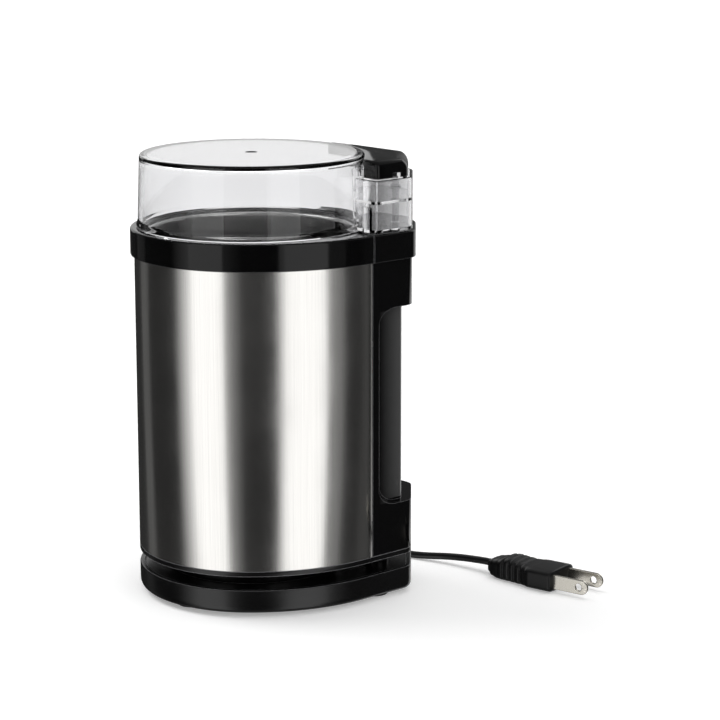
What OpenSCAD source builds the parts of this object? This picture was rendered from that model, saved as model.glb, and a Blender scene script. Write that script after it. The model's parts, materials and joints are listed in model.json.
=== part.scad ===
// Electric blade grinder for spices: teardrop body, clear lid with a press bar,
// stepped bowl, blade motor and a flat-laid mains cord.
// Millimetres. +Z is up, the tail of the body points along +Y.

/* [Body] */
// Radius of the round front of the steel sleeve
body_r = 50; // [48:0.5:54]
// How much larger the radius of the curved flanks is than that of the front
flank_shift = 22; // [20:0.5:26]
// Angle between the straight flanks and the tail axis
flank_angle = 42.5; // [41:0.5:44]
// How far the back of the tail lies beyond the radius of the front
tail_reach = 18; // [17:0.25:19.5]
// Radius of the upright corners at the back of the tail
tail_corner_r = 7.5; // [7.3:0.1:8.5]
// Height of the steel sleeve
sleeve_h = 126.5; // [120:0.5:140]
// Thickness of the steel sheet
steel_t = 0.6; // [0.4:0.1:0.9]
// Wall of the inner housing
housing_wall = 2.2; // [1.8:0.1:2.8]
// Distance from the back of the tail to the upright seam of the sleeve
seam_back = 16.5; // [15.5:0.25:17.5]

/* [Base] */
// Height of the rubber feet
foot_h = 2; // [1.5:0.1:3]
// Radius of the rubber feet
foot_r = 6; // [5:0.25:7]
// Height of the base plate
base_h = 10; // [9:0.5:13]
// Wall of the base plate
base_wall = 2; // [1.6:0.1:2.6]
// Depth of the shallow tray inside the base rim
tray_depth = 0.8; // [0.4:0.1:1.2]
// Width of the base rim
rim_w = 2.4; // [2:0.1:3]
// Height of the cord groove
groove_h = 6; // [5.8:0.1:8]
// Depth of the cord groove round the front
groove_d = 12; // [10:0.5:13]
// Height of the housing lip under the steel
lip_h = 2.2; // [1.8:0.1:3]

/* [Tail] */
// Length of the grip recess along the tail
grip_reach = 13.6; // [12:0.2:14.2]
// Depth of the grip recess
grip_depth = 4.4; // [4.2:0.1:4.6]
// Height of the block below the grip recess
grip_low_h = 21.3; // [18:0.5:25]
// Height of the block above the grip recess
grip_top_h = 20.2; // [19.5:0.1:24]
// Radius of the front corners of the grip recess
grip_corner_r = 7; // [4:0.5:9]
// Wall of the tail cover
tail_wall = 2.2; // [1.8:0.1:2.4]

/* [Collar] */
// Height of the collar
collar_h = 11.6; // [11:0.2:14]
// How far the collar stands proud of the steel
collar_proud = 1.6; // [1:0.1:2]
// Wall of the collar
collar_wall = 2; // [1.6:0.1:2.4]
// Depth of the round seat for the lid
lid_seat_depth = 1.2; // [0.8:0.1:1.6]
// Width of the fine seam line on the collar
seam_w = 0.5; // [0.3:0.1:0.7]

/* [Bowl] */
// How far the mouth of the bowl is set in from the front of the body
bowl_inset = 7; // [6.75:0.25:8]
// How much narrower the floor of the bowl is than its mouth
bowl_step = 7; // [6:0.25:8]
// Depth of the bowl
bowl_depth = 38.5; // [36:0.5:42]
// Depth of the ledge in the bowl
bowl_ledge_depth = 26; // [22:0.5:28]
// Thickness of the bowl sheet
bowl_t = 0.7; // [0.5:0.1:0.9]
// Radius of the rolled rim
rim_roll_r = 1.3; // [1.1:0.05:1.35]
// Thickness of the deck that carries the bowl
carrier_t = 3; // [2.4:0.2:4]

/* [Motor] */
// Radius of the motor shaft
shaft_r = 2.5; // [2:0.1:3]
// Outer radius of the shaft bearings
bearing_r = 6; // [5.5:0.1:6.5]
// Height of the shaft bearings
bearing_h = 7; // [6:0.5:8]
// Width of the stator stack
stator_w = 56; // [54:0.5:58]
// Depth of the stator stack
stator_d = 50; // [48:0.5:52]
// Height of the stator stack
stack_h = 22; // [18:1:24]
// Radius of the stator bore
bore_r = 16; // [15:0.25:16.5]
// Radial depth of the field coils
coil_d = 5.5; // [4.5:0.25:6]
// Height of the coil ends above and below the stack
coil_end = 5; // [4:0.5:6]
// Thickness of the bearing brackets
bracket_t = 2.5; // [2:0.1:3]
// Radius of the commutator
comm_r = 9.5; // [8.5:0.25:10]
// Height of the commutator
comm_h = 11; // [10.4:0.2:12]
// Radius of the cooling fan
fan_r = 22; // [20:0.5:24]
// Height of the cooling fan
fan_h = 7; // [6:0.5:8]
// Width of a carbon brush
brush_w = 6; // [5:0.25:6.5]
// Height of a carbon brush
brush_h = 7; // [6:0.25:7.5]
// Length of a carbon brush
brush_l = 10; // [8:0.5:11]
// Radius of the motor bolts
bolt_r = 1.75; // [1.5:0.05:2]
// Height of the rubber motor mounts
mount_h = 4; // [3:0.5:5]
// Radius of the rubber motor mounts
mount_r = 4; // [3.5:0.1:4.4]

/* [Blade] */
// Gap between the blade tips and the wall of the bowl
blade_gap = 3; // [2:0.5:5]
// Thickness of the blade
blade_t = 1.2; // [1:0.1:1.5]
// Width of the blade arms near the hub
blade_w = 8.3; // [7.5:0.1:9]
// Width of the blade tips
blade_tip_w = 5.8; // [5:0.1:6.4]
// Rise of the blade tips
blade_rise = 3; // [2:0.25:4]
// Height of the blade hub
hub_h = 2.5; // [2:0.25:3.5]
// Height of the blade nut
nut_h = 3.5; // [3:0.25:4.5]

/* [Lid] */
// Height of the lid above the collar
lid_h = 31; // [29:0.5:36]
// How far the top of the lid is set in from the front of the body
lid_inset = 2.8; // [2.4:0.1:3.2]
// How much wider the lid is at its foot than at its top
lid_flare = 1.2; // [1:0.1:1.4]
// Wall of the lid
lid_wall = 2; // [1.6:0.1:2.2]
// Wall of the clear box on the tail
box_wall = 1.3; // [1.1:0.1:1.4]
// Distance from the back of the tail to the front corners of the clear box
box_reach = 15; // [14.4:0.1:15.4]
// Length of the small clear lug on each front wall of the box
lug_l = 1.4; // [1:0.1:1.8]

/* [Press bar] */
// Height of the press bar
bar_h = 8.4; // [8:0.1:9]
// Wall of the press bar
bar_wall = 1.8; // [1.5:0.1:2]
// How far the press bar is set in from the body outline
bar_inset = 1.7; // [1.6:0.05:1.9]
// Fall of the press bar's crown from its middle to its flanks
bar_crown = 0.8; // [0.4:0.1:1.2]
// Radius of the rolled edge at the back of the press bar
bar_roll_r = 5; // [3:0.25:5.5]
// How far the long wing of the press bar reaches forward along the left flank
wing_reach = 21; // [12:0.5:24]
// Distance from the top of the lid to the hinge pin behind it
pin_gap = 3.3; // [3:0.1:3.8]
// Depth of the hinge pin below the top of the lid
pin_drop = 6.2; // [6.1:0.05:6.3]
// Radius of the hinge pin
pin_r = 1.2; // [1:0.05:1.4]

/* [Switch] */
// Distance from the back of the tail to the middle of the switch rod
rod_back = 7.4; // [7.2:0.1:7.8]
// Width of the pusher and the switch rod
rod_w = 6; // [5:0.25:6.5]
// Thickness of the pusher and the switch rod
rod_t = 2.8; // [2.4:0.1:3]
// Travel of the switch rod
rod_travel = 2.3; // [2:0.1:2.5]
// Width of the micro switch
switch_w = 20; // [18:0.5:21]
// Height of the micro switch
switch_h = 8; // [7:0.25:9]
// Thickness of the micro switch
switch_t = 6.4; // [5.6:0.1:6.8]

/* [Cord and plug] */
// Diameter of the mains cord
cord_d = 3.2; // [3:0.1:3.4]
// Radius of the cord coil at the middle of its turns
coil_mid_r = 17.6; // [17:0.2:18]
// Width of the plug
plug_w = 20.4; // [19.6:0.2:21]
// Height of the plug
plug_h = 9.3; // [8.8:0.1:9.8]
// Length of the plug
plug_l = 35.5; // [35:0.5:38]
// Distance between the two plug blades
prong_pitch = 12.7; // [12.5:0.1:12.9]
// Length of a plug blade
prong_l = 17; // [15.9:0.1:18.3]
// Width of a plug blade
prong_w = 6.35; // [6.1:0.05:6.6]
// Thickness of a plug blade
prong_t = 1.5; // [1.4:0.05:1.6]

/* [Clearances] */
// Gap between pieces that move against each other
move_gap = 0.3; // [0.25:0.01:0.35]
// Gap between fixed pieces that slip together
slip_gap = 0.2; // [0.1:0.05:0.25]
// Radial gap of a shaft or pin in its bearing
run_gap = 0.05; // [0.03:0.01:0.08]
// Gap between the rotor and the stator
air_gap = 0.5; // [0.4:0.05:0.6]

/* [Hidden] */
$fn = 96;
far = 200;
eps = 0.02;
hair = 0.002;

// Frame: the middle of the body outline lies on the Z axis
tail_end = body_r + tail_reach;
axis_y = (body_r - tail_end) / 2;

// Levels, from the floor up
z_base = foot_h;
z_rim = z_base + base_h;
z_tray = z_rim - tray_depth;
z_lip = z_rim + groove_h;
z_steel = z_lip + lip_h;
z_collar = z_steel + sleeve_h;
z_top = z_collar + collar_h;
z_lid_top = z_top + lid_h;
z_grip0 = z_steel + grip_low_h;
z_grip1 = z_collar - grip_top_h;

// Plan outline
flank_r = body_r + flank_shift;
flank_dist = flank_r - flank_shift * cos(flank_angle);
corner_y = tail_end - tail_corner_r;
corner_x = (flank_dist - tail_corner_r - corner_y * sin(flank_angle)) / cos(flank_angle);

// Shells
housing_out = -steel_t - slip_gap;
housing_in = housing_out - housing_wall;
seam_y = tail_end - seam_back;
grip_y = tail_end - grip_reach;
spool_r = body_r - groove_d;
back_wall_y = seam_y - 2;
wall_in_r = body_r + housing_in;
collar_in = collar_proud - collar_wall;

// Bowl and what it hangs in
bowl_z = z_top - lid_seat_depth;
bowl_mouth_r = body_r - bowl_inset;
bowl_floor_r = bowl_mouth_r - bowl_step;
roll_out_r = bowl_mouth_r + 2 * rim_roll_r;
bowl_out_r = bowl_mouth_r + bowl_t;
collar_bore_r = roll_out_r + slip_gap;
gasket_t = 1;
ledge_t = 2;
z_ledge = bowl_z - 2 * rim_roll_r - gasket_t;
bowl_bottom = bowl_z - bowl_depth;
z_carrier = bowl_bottom - carrier_t;
carrier_r = wall_in_r - slip_gap;
carrier_ledge_w = 2.4;
carrier_vent_r = 4;

// Motor, hung down from the bowl deck
cup_wall = 2.4;
cup_floor = 1.2;
bearing_slip = 0.1;
z_upper = z_carrier - bearing_h - bracket_t - cup_floor;
fan_gap = 1.6;
z_fan = z_upper - fan_gap - fan_h;
z_stack = z_fan - fan_gap - coil_end - stack_h;
z_comm = z_stack - coil_end - fan_gap - comm_h;
comm_gap = 3;
z_lower = z_comm - comm_gap - bracket_t;
z_post = z_lower - mount_h;
z_shaft = z_lower - bearing_h + 0.6;
bolt_x = stator_w / 2 - 4;
bolt_y = stator_d / 2 - 4.5;
mount_x = 12;
mount_y = stator_d / 2 - mount_r;
coil_in_r = bore_r + 1.5;
coil_out_r = coil_in_r + coil_d;
pole_angles = [90, 270];
coil_half_angle = 52;
coil_leg_angle = 12;
brush_in = comm_r + move_gap;
holder_wall = 1.4;
holder_in = brush_in + 1.2;
brush_spring_l = 4;
holder_out = brush_in + brush_l + brush_spring_l;
brush_z = z_comm + comm_h / 2;

// Seal, hub and blade
seal_body_r = 5.5;
seal_flange_r = 8;
seal_flange_h = 3;
z_floor = bowl_bottom + bowl_t;
z_seal = z_floor + seal_flange_h;
z_hub = z_seal + move_gap;
z_blade = z_hub + hub_h;
z_nut = z_blade + blade_t;
nut_r = 4.2;
hub_r = 5;
blade_r = bowl_floor_r - blade_gap;
blade_bend = blade_r - 11;
blade_hole_x = 13.5;
blade_hole_r = 1.4;

// Lid, press bar and pusher
lid_top_r = body_r - lid_inset;
lid_foot_r = lid_top_r + lid_flare;
box_corner_y = tail_end - box_reach;
rod_y = tail_end - rod_back;
pin_y = lid_top_r + pin_gap;
lid_z = z_top - lid_seat_depth + move_gap;
box_z = z_top + move_gap;
box_top = z_lid_top - bar_h - 0.4;
box_out = 0.2;
box_in = box_out - box_wall;
box_corner_x = (flank_dist - box_corner_y * sin(flank_angle)) / cos(flank_angle);
wedge_y = box_corner_y - box_corner_x * tan(flank_angle);
bar_z = z_lid_top - bar_h;
bar_front_gap = 0.6;
bar_back_gap = 2.1;
cheek_inset = 2.3;
bar_under = z_lid_top - bar_wall - bar_crown;
wing_y = box_corner_y - wing_reach;
wing_lift = 1.2;
wing_overlap = 2;
pin_z = z_lid_top - pin_drop;
ear_x = 9;
ear_t = 2;
ear_r = 2.4;
pin_half_l = 14;
wing_x = pin_half_l + 3;
cheek_y = pin_y - ear_r - 0.5;
lug_x = ear_x + ear_t + move_gap;
press_arm = rod_y - pin_y;
shelf_t = 1.2;
shelf_z = box_z + (box_top - box_z) * 0.55;
pusher_top = box_top - 1.6;
flange_t = 1;
notch_x = 8;
notch_w = 24;
notch_y = tail_end - 8;
notch_l = 3;
notch_h = 2;
leg_y = tail_end - bar_inset - bar_wall - 0.5;
leg_t = 1.8;
leg_w = 9;

// Switch
z_shelf = z_collar - tail_wall;
z_switch = z_shelf - switch_h - 6;
rod_flange_z = z_top - collar_wall - move_gap - flange_t;
plunger_r = 1.2;
plunger_top = z_switch + switch_h + rod_travel + 0.6;
switch_hole_x = 7.4;
switch_screw_r = 0.85;

// Screws
screw_r = 1.5;
screw_head_r = 3;
screw_head_h = 1.8;
screw_slip = 0.15;
screw_bite = 8;
mount_bite = 10;
boss_r = 4;
base_screw_r = spool_r - base_wall - 8;
base_screw_angles = [30, 150, 270];
tail_post_y = tail_end - 15;
tail_post_r = 5;
tail_screw_z = [z_steel + 9, z_carrier - 9];
foot_front = 0.6 * body_r;
foot_back_y = tail_end - 16;
foot_places = [
    [-foot_front, -0.5 * body_r], [foot_front, -0.5 * body_r], [-14, foot_back_y], [14, foot_back_y]
];
foot_stem_r = 2.5;
foot_stem_h = 3.5;
foot_boss_r = foot_r + 1.5;

// Cord: route points beyond the groove, in the frame of the motor axis
cord_r = cord_d / 2;
cord_sides = 8;
exit_y = -11;
exit_z = z_lip - groove_h / 2;
grommet_end = -body_r - 4;
grommet_r0 = 2.4;
grommet_r1 = 2.1;
grommet_start = -sqrt(pow(spool_r - base_wall, 2) - exit_y * exit_y);
grommet_flange_r = 2.9;
grommet_flange_t = 1.4;
grommet_neck = 1.2;
coil_centre = [-88, 8];
coil_turn_r = cord_d / 2;
coil_h = 3 * cord_d;
coil_out = coil_mid_r + cord_d;
coil_in = coil_mid_r - cord_d;
tie_w = 5;
tie_t = 0.7;
route_in = [
    [-54, -11, 15], [-54.6, -11, 15], [-58, -11, 14.4], [-63, -11, 11.6], [-68, -11, 7.4],
    [-73, -11, 3.6], [-77, -11.1, 2], [-81, -11.2, 1.6]
];
route_out = [
    [-87.2, 28, 4.7], [-82.3, 29.4, 3.9], [-77, 31, 2.6], [-71, 33.2, 1.7], [-65, 36, 1.6],
    [-59.5, 39.5, 1.6], [-54, 43.7, 1.6], [-48.7, 49, 1.6], [-43.8, 55.5, 1.6], [-39, 63, 1.6],
    [-34.8, 70.5, 1.8], [-31.5, 77, 2.4], [-28.3, 83.2, 3.2], [-24.5, 88.8, 4], [-20.5, 94.2, 4.6],
    [-15.8, 100.1, 5.15], [-12.9, 104.2, 5.2]
];
plug_turn = -35;
plug_rear = route_out[len(route_out) - 1];
plug_nose_half_w = 4.4;
plug_waist_half_w = 7.2;
plug_ribs = 4;
plug_rib_pitch = 3.1;
plug_rib_w = 1.3;
plug_rib_depth = 0.9;
plug_rib_start = 8.6;
prong_hole_r = 1.6;
prong_root = 5;

// Wires inside the housing: corner positions round the motor, then up the tail to the switch
lead_r = 0.9;
lead_gap = 2.5;
lead_x = grommet_start + 6.8;
lead_wall_r = wall_in_r - lead_r - 1.2;
lead_y = stator_d / 2 + lead_gap;
lead_low_z = z_stack - coil_end - lead_gap;
window_z = tail_screw_z[1] - 12;
window_w = 18;
window_h = 10;
grommet_in = grommet_start + grommet_neck + grommet_flange_t;
holder_top = brush_z + brush_h / 2 + holder_wall;
terminal_y = rod_y - 0.4;
terminal_pitch = 6;
terminal_l = 4;
terminal_z = z_switch - terminal_l;
function polar(r, a, z) = [r * cos(a), r * sin(a), z];
mains_lead = [
    [grommet_in, exit_y, exit_z], [grommet_in + 2, exit_y, exit_z + 0.2], [lead_x, exit_y, z_lip],
    [lead_x - 0.8, exit_y + 1.4, z_steel + 2], polar(stator_w / 2 + 5, 180, z_steel + 8),
    polar(stator_w / 2 + 9, 162, z_post - 6), polar(lead_wall_r - 1.5, 147, z_lower),
    polar(lead_wall_r, 134, z_comm + comm_h), polar(lead_wall_r, 119, window_z - 15),
    [-window_w / 2, back_wall_y - housing_wall - 1.6, window_z - 8],
    [-window_w / 6, back_wall_y - housing_wall - 1.5, window_z - 3], [-3.4, seam_y - 1, window_z + 0.5],
    [-5.6, seam_y + 3.5, window_z + 4], [-6.4, seam_y + 4.5, tail_screw_z[1]],
    [-5.5, seam_y + 5, tail_screw_z[1] + 7], [-1, rod_y - 2.2, terminal_z - 5.5],
    [0, terminal_y, terminal_z - 2], [0, terminal_y, terminal_z]
];
brush_lead = [
    [terminal_pitch, terminal_y, terminal_z], [terminal_pitch, terminal_y, terminal_z - 2],
    [terminal_pitch + 2, rod_y - 2.6, terminal_z - 6], [9.6, seam_y + 4.5, tail_screw_z[1] + 7],
    [9.6, seam_y + 4, tail_screw_z[1] - 2], [8, seam_y + 0.5, window_z + 3],
    [7.6, back_wall_y - 1, window_z], [8, back_wall_y - housing_wall - 4.6, window_z - 4],
    [13, (back_wall_y + lead_y) / 2, window_z - 12], [16, lead_y + 1.5, z_stack + stack_h],
    [16, lead_y, z_stack + stack_h / 2], [16, lead_y, z_stack - 2], [15.5, lead_y - 7.5, lead_low_z],
    [17.5, 10.5, lead_low_z + 0.6], [18.3, 6.5, holder_top + 1.7], [18.8, 3, holder_top + 2.3],
    [18.8, 1, holder_top + 1.5], [18.8, 1, holder_top]
];

// ---- Shared shapes ----

// Moves what is drawn around the motor axis into the part's frame
module on_axis() {
    translate([0, axis_y, 0]) children();
}

// Half plane y > from, or y < from when ahead is false
module half_plane(from, ahead = true) {
    translate([-far, ahead ? from : from - 2 * far]) square([2 * far, 2 * far]);
}

// Teardrop outline of the body, grown outwards by grow. Its pieces run a hair into each other.
module outline(grow = 0) {
    flank_in = flank_r + grow - hair;
    turn_r = tail_corner_r + grow;
    foot_x = flank_in * cos(flank_angle) - flank_shift;
    foot_y = flank_in * sin(flank_angle);
    turn_x = corner_x + (turn_r - hair) * cos(flank_angle);
    turn_y = corner_y + (turn_r - hair) * sin(flank_angle);
    intersection() {
        circle(r = body_r + grow, $fn = 180);
        half_plane(0, false);
    }
    intersection() {
        translate([-flank_shift, 0]) circle(r = flank_r + grow, $fn = 240);
        translate([flank_shift, 0]) circle(r = flank_r + grow, $fn = 240);
        translate([-far, 0]) square([2 * far, foot_y + 2]);
    }
    polygon([[-foot_x, foot_y], [foot_x, foot_y], [turn_x, turn_y], [-turn_x, turn_y]]);
    for (side = [-1, 1]) translate([side * corner_x, corner_y]) circle(r = turn_r, $fn = 48);
    translate([-corner_x, foot_y]) square([2 * corner_x, tail_end + grow - hair - foot_y]);
}

// Upright slab of the outline
module slab(z0, z1, grow = 0) {
    translate([0, 0, z0]) linear_extrude(z1 - z0) outline(grow);
}

// Upright slab of the outline behind a given distance from the motor axis
module tail_slab(z0, z1, grow, from) {
    translate([0, 0, z0]) linear_extrude(z1 - z0) intersection() {
        outline(grow);
        half_plane(from);
    }
}

// Wedge that the clear box and the press bar fill, set in by inset
module wedge(inset = 0) {
    tip = wedge_y + inset / cos(flank_angle);
    polygon([[0, tip], [far, tip + far * tan(flank_angle)], [-far, tip + far * tan(flank_angle)]]);
}

module post(x, y, z0, z1, r) {
    translate([x, y, z0]) cylinder(r = r, h = z1 - z0, $fn = 48);
}

module tube_ring(z0, z1, r_out, r_in) {
    difference() {
        post(0, 0, z0, z1, r_out);
        post(0, 0, z0 - 1, z1 + 1, r_in);
    }
}

// Screw with a flat round head, pointing up, head underside at z = 0
module screw(r, length, head_r, head_h) {
    translate([0, 0, -head_h]) cylinder(r = head_r, h = head_h, $fn = 48);
    translate([0, 0, -head_h / 2]) cylinder(r = r, h = length + head_h / 2, $fn = 32);
}

function unit(v) = v / norm(v);
function heading(p, i) = unit(p[min(i + 1, len(p) - 1)] - p[max(i - 1, 0)]);
function ring_at(p, i, r, n, ref) =
    let (t = heading(p, i), s = unit(cross(ref, t)), u = cross(t, s))
    [for (k = [0:n - 1]) p[i] + r * (cos(360 * k / n) * s + sin(360 * k / n) * u)];

// Round wire swept along the points of a route
module wire(route, r, n = 8, ref = [0, 0, 1]) {
    last = len(route) - 1;
    points = [for (i = [0:last]) each ring_at(route, i, r, n, ref)];
    walls = [for (i = [0:last - 1]) for (k = [0:n - 1])
        [i * n + k, (i + 1) * n + k, (i + 1) * n + (k + 1) % n, i * n + (k + 1) % n]];
    start_cap = [[for (k = [0:n - 1]) k]];
    end_cap = [[for (k = [n - 1:-1:0]) last * n + k]];
    polyhedron(points, concat(walls, start_cap, end_cap), convexity = 6);
}

// ---- Base ----

module base_plate() {
    color("#161616") on_axis() difference() {
        union() {
            difference() {
                slab(z_base, z_rim);
                slab(z_tray, z_rim + 1, -rim_w);
                slab(z_base - 1, z_tray - base_wall, -base_wall);
            }
            for (p = foot_places) post(p[0], p[1], z_base, z_tray - base_wall + eps, foot_boss_r);
            for (a = base_screw_angles) rotate(a)
                post(base_screw_r, 0, z_base + 1, z_tray - base_wall + eps, screw_head_r + 2);
            post(0, tail_post_y, z_base + 1, z_tray - base_wall + eps, screw_head_r + 2);
        }
        for (p = foot_places)
            post(p[0], p[1], z_base - 1, z_base + foot_stem_h + slip_gap, foot_stem_r + slip_gap);
        for (a = base_screw_angles) rotate(a) base_screw_hole(base_screw_r, 0);
        base_screw_hole(0, tail_post_y);
    }
}

module base_screw_hole(x, y) {
    head_z = z_tray - base_wall;
    post(x, y, z_base - 1, head_z, screw_head_r + slip_gap);
    post(x, y, head_z - 1, z_tray + 1, screw_r + screw_slip);
}

module rubber_feet() {
    color("#222222") on_axis() for (p = foot_places) {
        post(p[0], p[1], 0, z_base, foot_r);
        post(p[0], p[1], z_base - eps, z_base + foot_stem_h, foot_stem_r);
    }
}

module base_screws() {
    head_z = z_tray - base_wall;
    length = z_steel - head_z - 0.6;
    color("silver") on_axis() {
        for (a = base_screw_angles) rotate(a) translate([base_screw_r, 0, head_z])
            screw(screw_r, length, screw_head_r, screw_head_h);
        translate([0, tail_post_y, head_z]) screw(screw_r, length, screw_head_r, screw_head_h);
    }
}

// Wall of the cord store between the base plate and the housing
module cord_spool() {
    color("#101010") on_axis() difference() {
        tube_ring(z_tray, z_lip, spool_r, spool_r - base_wall);
        grommet_hole();
    }
}

module grommet_hole() {
    translate([-far / 2, exit_y, exit_z]) rotate([0, 90, 0])
        cylinder(r = grommet_r0 + slip_gap / 2, h = far / 2 - 20, $fn = 32);
}

module tail_spacer() {
    color("#101010") on_axis() difference() {
        post(0, tail_post_y, z_tray, z_lip, tail_post_r);
        post(0, tail_post_y, z_tray - 1, z_lip + 1, screw_r + screw_slip);
    }
}

// ---- Housing ----

module motor_housing() {
    color("#1c1c1c") on_axis() difference() {
        union() {
            slab(z_lip, z_steel);
            housing_wall_shape();
            for (a = base_screw_angles) rotate(a)
                post(base_screw_r, 0, z_tray, z_lip + eps, boss_r);
            for (sx = [-1, 1]) for (sy = [-1, 1])
                post(sx * mount_x, sy * mount_y, z_steel - eps, z_post, mount_r);
            carrier_ledge();
        }
        for (a = base_screw_angles) rotate(a)
            post(base_screw_r, 0, z_tray - 1, z_steel + 1, screw_r + screw_slip);
        post(0, tail_post_y, z_lip - 1, z_steel + 1, screw_r + screw_slip);
        for (sx = [-1, 1]) for (sy = [-1, 1])
            post(sx * mount_x, sy * mount_y, z_post - mount_bite - 2, z_post + 1, screw_r - 0.2);
        post(lead_x, exit_y, z_lip - 1, z_steel + 1, 2.5);
        for (z = tail_screw_z) translate([0, far / 2, z]) rotate([90, 0, 0])
            cylinder(r = screw_r + screw_slip, h = far / 2, $fn = 32);
        translate([-window_w / 2, back_wall_y - housing_wall - 1, window_z - window_h / 2])
            cube([window_w, housing_wall + 2, window_h]);
    }
}

// Ledge inside the housing wall that the bowl carrier rests on
module carrier_ledge() {
    translate([0, 0, z_carrier - ledge_t]) linear_extrude(ledge_t) difference() {
        intersection() {
            outline(housing_in + housing_wall / 2);
            half_plane(back_wall_y - housing_wall / 2, false);
        }
        circle(r = carrier_r - carrier_ledge_w, $fn = 180);
    }
}

// Upright wall of the housing with its flat back
module housing_wall_shape() {
    translate([0, 0, z_steel - eps]) linear_extrude(sleeve_h + eps) {
        intersection() {
            difference() {
                outline(housing_out);
                outline(housing_in);
            }
            half_plane(back_wall_y, false);
        }
        intersection() {
            outline(housing_in + housing_wall / 2);
            translate([-far, back_wall_y - housing_wall]) square([2 * far, housing_wall]);
        }
    }
}

module steel_sleeve() {
    color("#b9b9b6") on_axis() translate([0, 0, z_steel]) linear_extrude(sleeve_h) intersection() {
        difference() {
            outline();
            outline(-steel_t);
        }
        half_plane(seam_y, false);
    }
}

module tail_cover() {
    front = seam_y + slip_gap;
    cover_h = sleeve_h;
    color("#141414") on_axis() difference() {
        union() {
            difference() {
                tail_slab(z_steel, z_collar, 0, front);
                grip_recess();
                tail_slab(z_steel + tail_wall, z_shelf, -grip_depth - tail_wall, front - 1);
                tail_slab(z_steel + tail_wall, z_grip0 - tail_wall, -tail_wall, front - 1);
                tail_slab(z_grip1 + tail_wall, z_shelf, -tail_wall, front - 1);
            }
            tail_boss(tail_screw_z[0], tail_end - tail_wall);
            tail_boss(tail_screw_z[1], tail_end - grip_depth - tail_wall);
            for (side = [-1, 1])
                translate([side * switch_hole_x, rod_y + switch_t / 2, z_switch + switch_h / 2])
                rotate([-90, 0, 0])
                cylinder(r = 2, h = tail_end - tail_wall / 2 - rod_y - switch_t / 2, $fn = 32);
        }
        for (z = tail_screw_z) translate([0, front - 1, z]) rotate([-90, 0, 0])
            cylinder(r = screw_r - 0.2, h = screw_bite + 1, $fn = 32);
        for (side = [-1, 1])
            translate([side * switch_hole_x, rod_y, z_switch + switch_h / 2]) rotate([-90, 0, 0])
            cylinder(r = switch_screw_r + 0.05, h = switch_t / 2 + 2.4, $fn = 32);
        rod_slot(z_shelf - 1, z_collar + 1);
    }
}

// Boss that a tail screw bites into, up to the back wall of the cover
module tail_boss(z, back_y) {
    front = seam_y + slip_gap;
    translate([0, front, z]) rotate([-90, 0, 0]) cylinder(r = boss_r, h = back_y - front + tail_wall / 2, $fn = 48);
}

// Rounded recess cut into the flanks and the back of the tail
module grip_recess() {
    difference() {
        translate([-far, 0, 0]) rotate([90, 0, 90]) linear_extrude(2 * far) union() {
            for (z = [z_grip0 + grip_corner_r, z_grip1 - grip_corner_r])
                translate([grip_y + grip_corner_r, z]) circle(r = grip_corner_r, $fn = 64);
            translate([grip_y + grip_corner_r, z_grip0]) square([far, z_grip1 - z_grip0]);
            translate([grip_y, z_grip0 + grip_corner_r])
                square([far, z_grip1 - z_grip0 - 2 * grip_corner_r]);
        }
        slab(z_grip0 - 1, z_grip1 + 1, -grip_depth);
    }
}

// Slot that the switch rod slides in
module rod_slot(z0, z1) {
    translate([-rod_w / 2 - move_gap, rod_y - rod_t / 2 - move_gap, z0])
        cube([rod_w + 2 * move_gap, rod_t + 2 * move_gap, z1 - z0]);
}

module tail_screws() {
    head_y = back_wall_y - housing_wall;
    color("silver") on_axis() for (z = tail_screw_z)
        translate([0, head_y, z]) rotate([-90, 0, 0])
        screw(screw_r - 0.25, seam_y + screw_bite - head_y, screw_head_r, screw_head_h);
}

module top_collar() {
    color("#0c0c0c") on_axis() difference() {
        union() {
            difference() {
                slab(z_collar, z_top, collar_proud);
                slab(z_collar - 1, z_top - collar_wall, collar_in);
            }
            tube_ring(z_ledge - ledge_t, z_top - eps, collar_bore_r + collar_wall, bowl_out_r + slip_gap);
        }
        post(0, 0, z_ledge, z_top + 1, collar_bore_r);
        post(0, 0, z_top - lid_seat_depth, z_top + 1, lid_foot_r + move_gap);
        for (a = [60, 240]) rotate(a)
            translate([collar_bore_r - 1, -5, z_top - lid_seat_depth - 2]) cube([2, 10, 4]);
        rod_slot(z_top - collar_wall - 1, z_top + 1);
        for (side = [-1, 1]) seam_cut(side);
    }
}

// Fine upright seam line on each flank of the collar
module seam_cut(side) {
    x = side * (flank_dist + collar_proud - (seam_y + 1) * sin(flank_angle)) / cos(flank_angle);
    translate([x, seam_y + 1, z_collar - 1]) rotate(side * (flank_angle - 90))
        translate([-seam_w / 2, -seam_w, 0]) cube([seam_w, 2 * seam_w, collar_h + 2]);
}

// ---- Bowl ----

// Half profile of the bowl, grown outwards by t
function bowl_profile(t, top) = [
    [0, -bowl_depth + bowl_t - t],
    [bowl_floor_r - 2 + t / 2, -bowl_depth + bowl_t - t],
    [bowl_floor_r + t, -bowl_depth + bowl_t + 2 - t / 2],
    [bowl_floor_r + t, -bowl_ledge_depth - 1.5 - t],
    [bowl_floor_r + 1.5 + t / 2, -bowl_ledge_depth - t],
    [bowl_mouth_r - 3.4 + t / 2, -bowl_ledge_depth + 1 - t],
    [bowl_mouth_r - 1.2 + t, -bowl_ledge_depth + 4],
    [bowl_mouth_r + t, -bowl_ledge_depth + 12],
    [bowl_mouth_r + t, top],
    [0, top]
];

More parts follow.
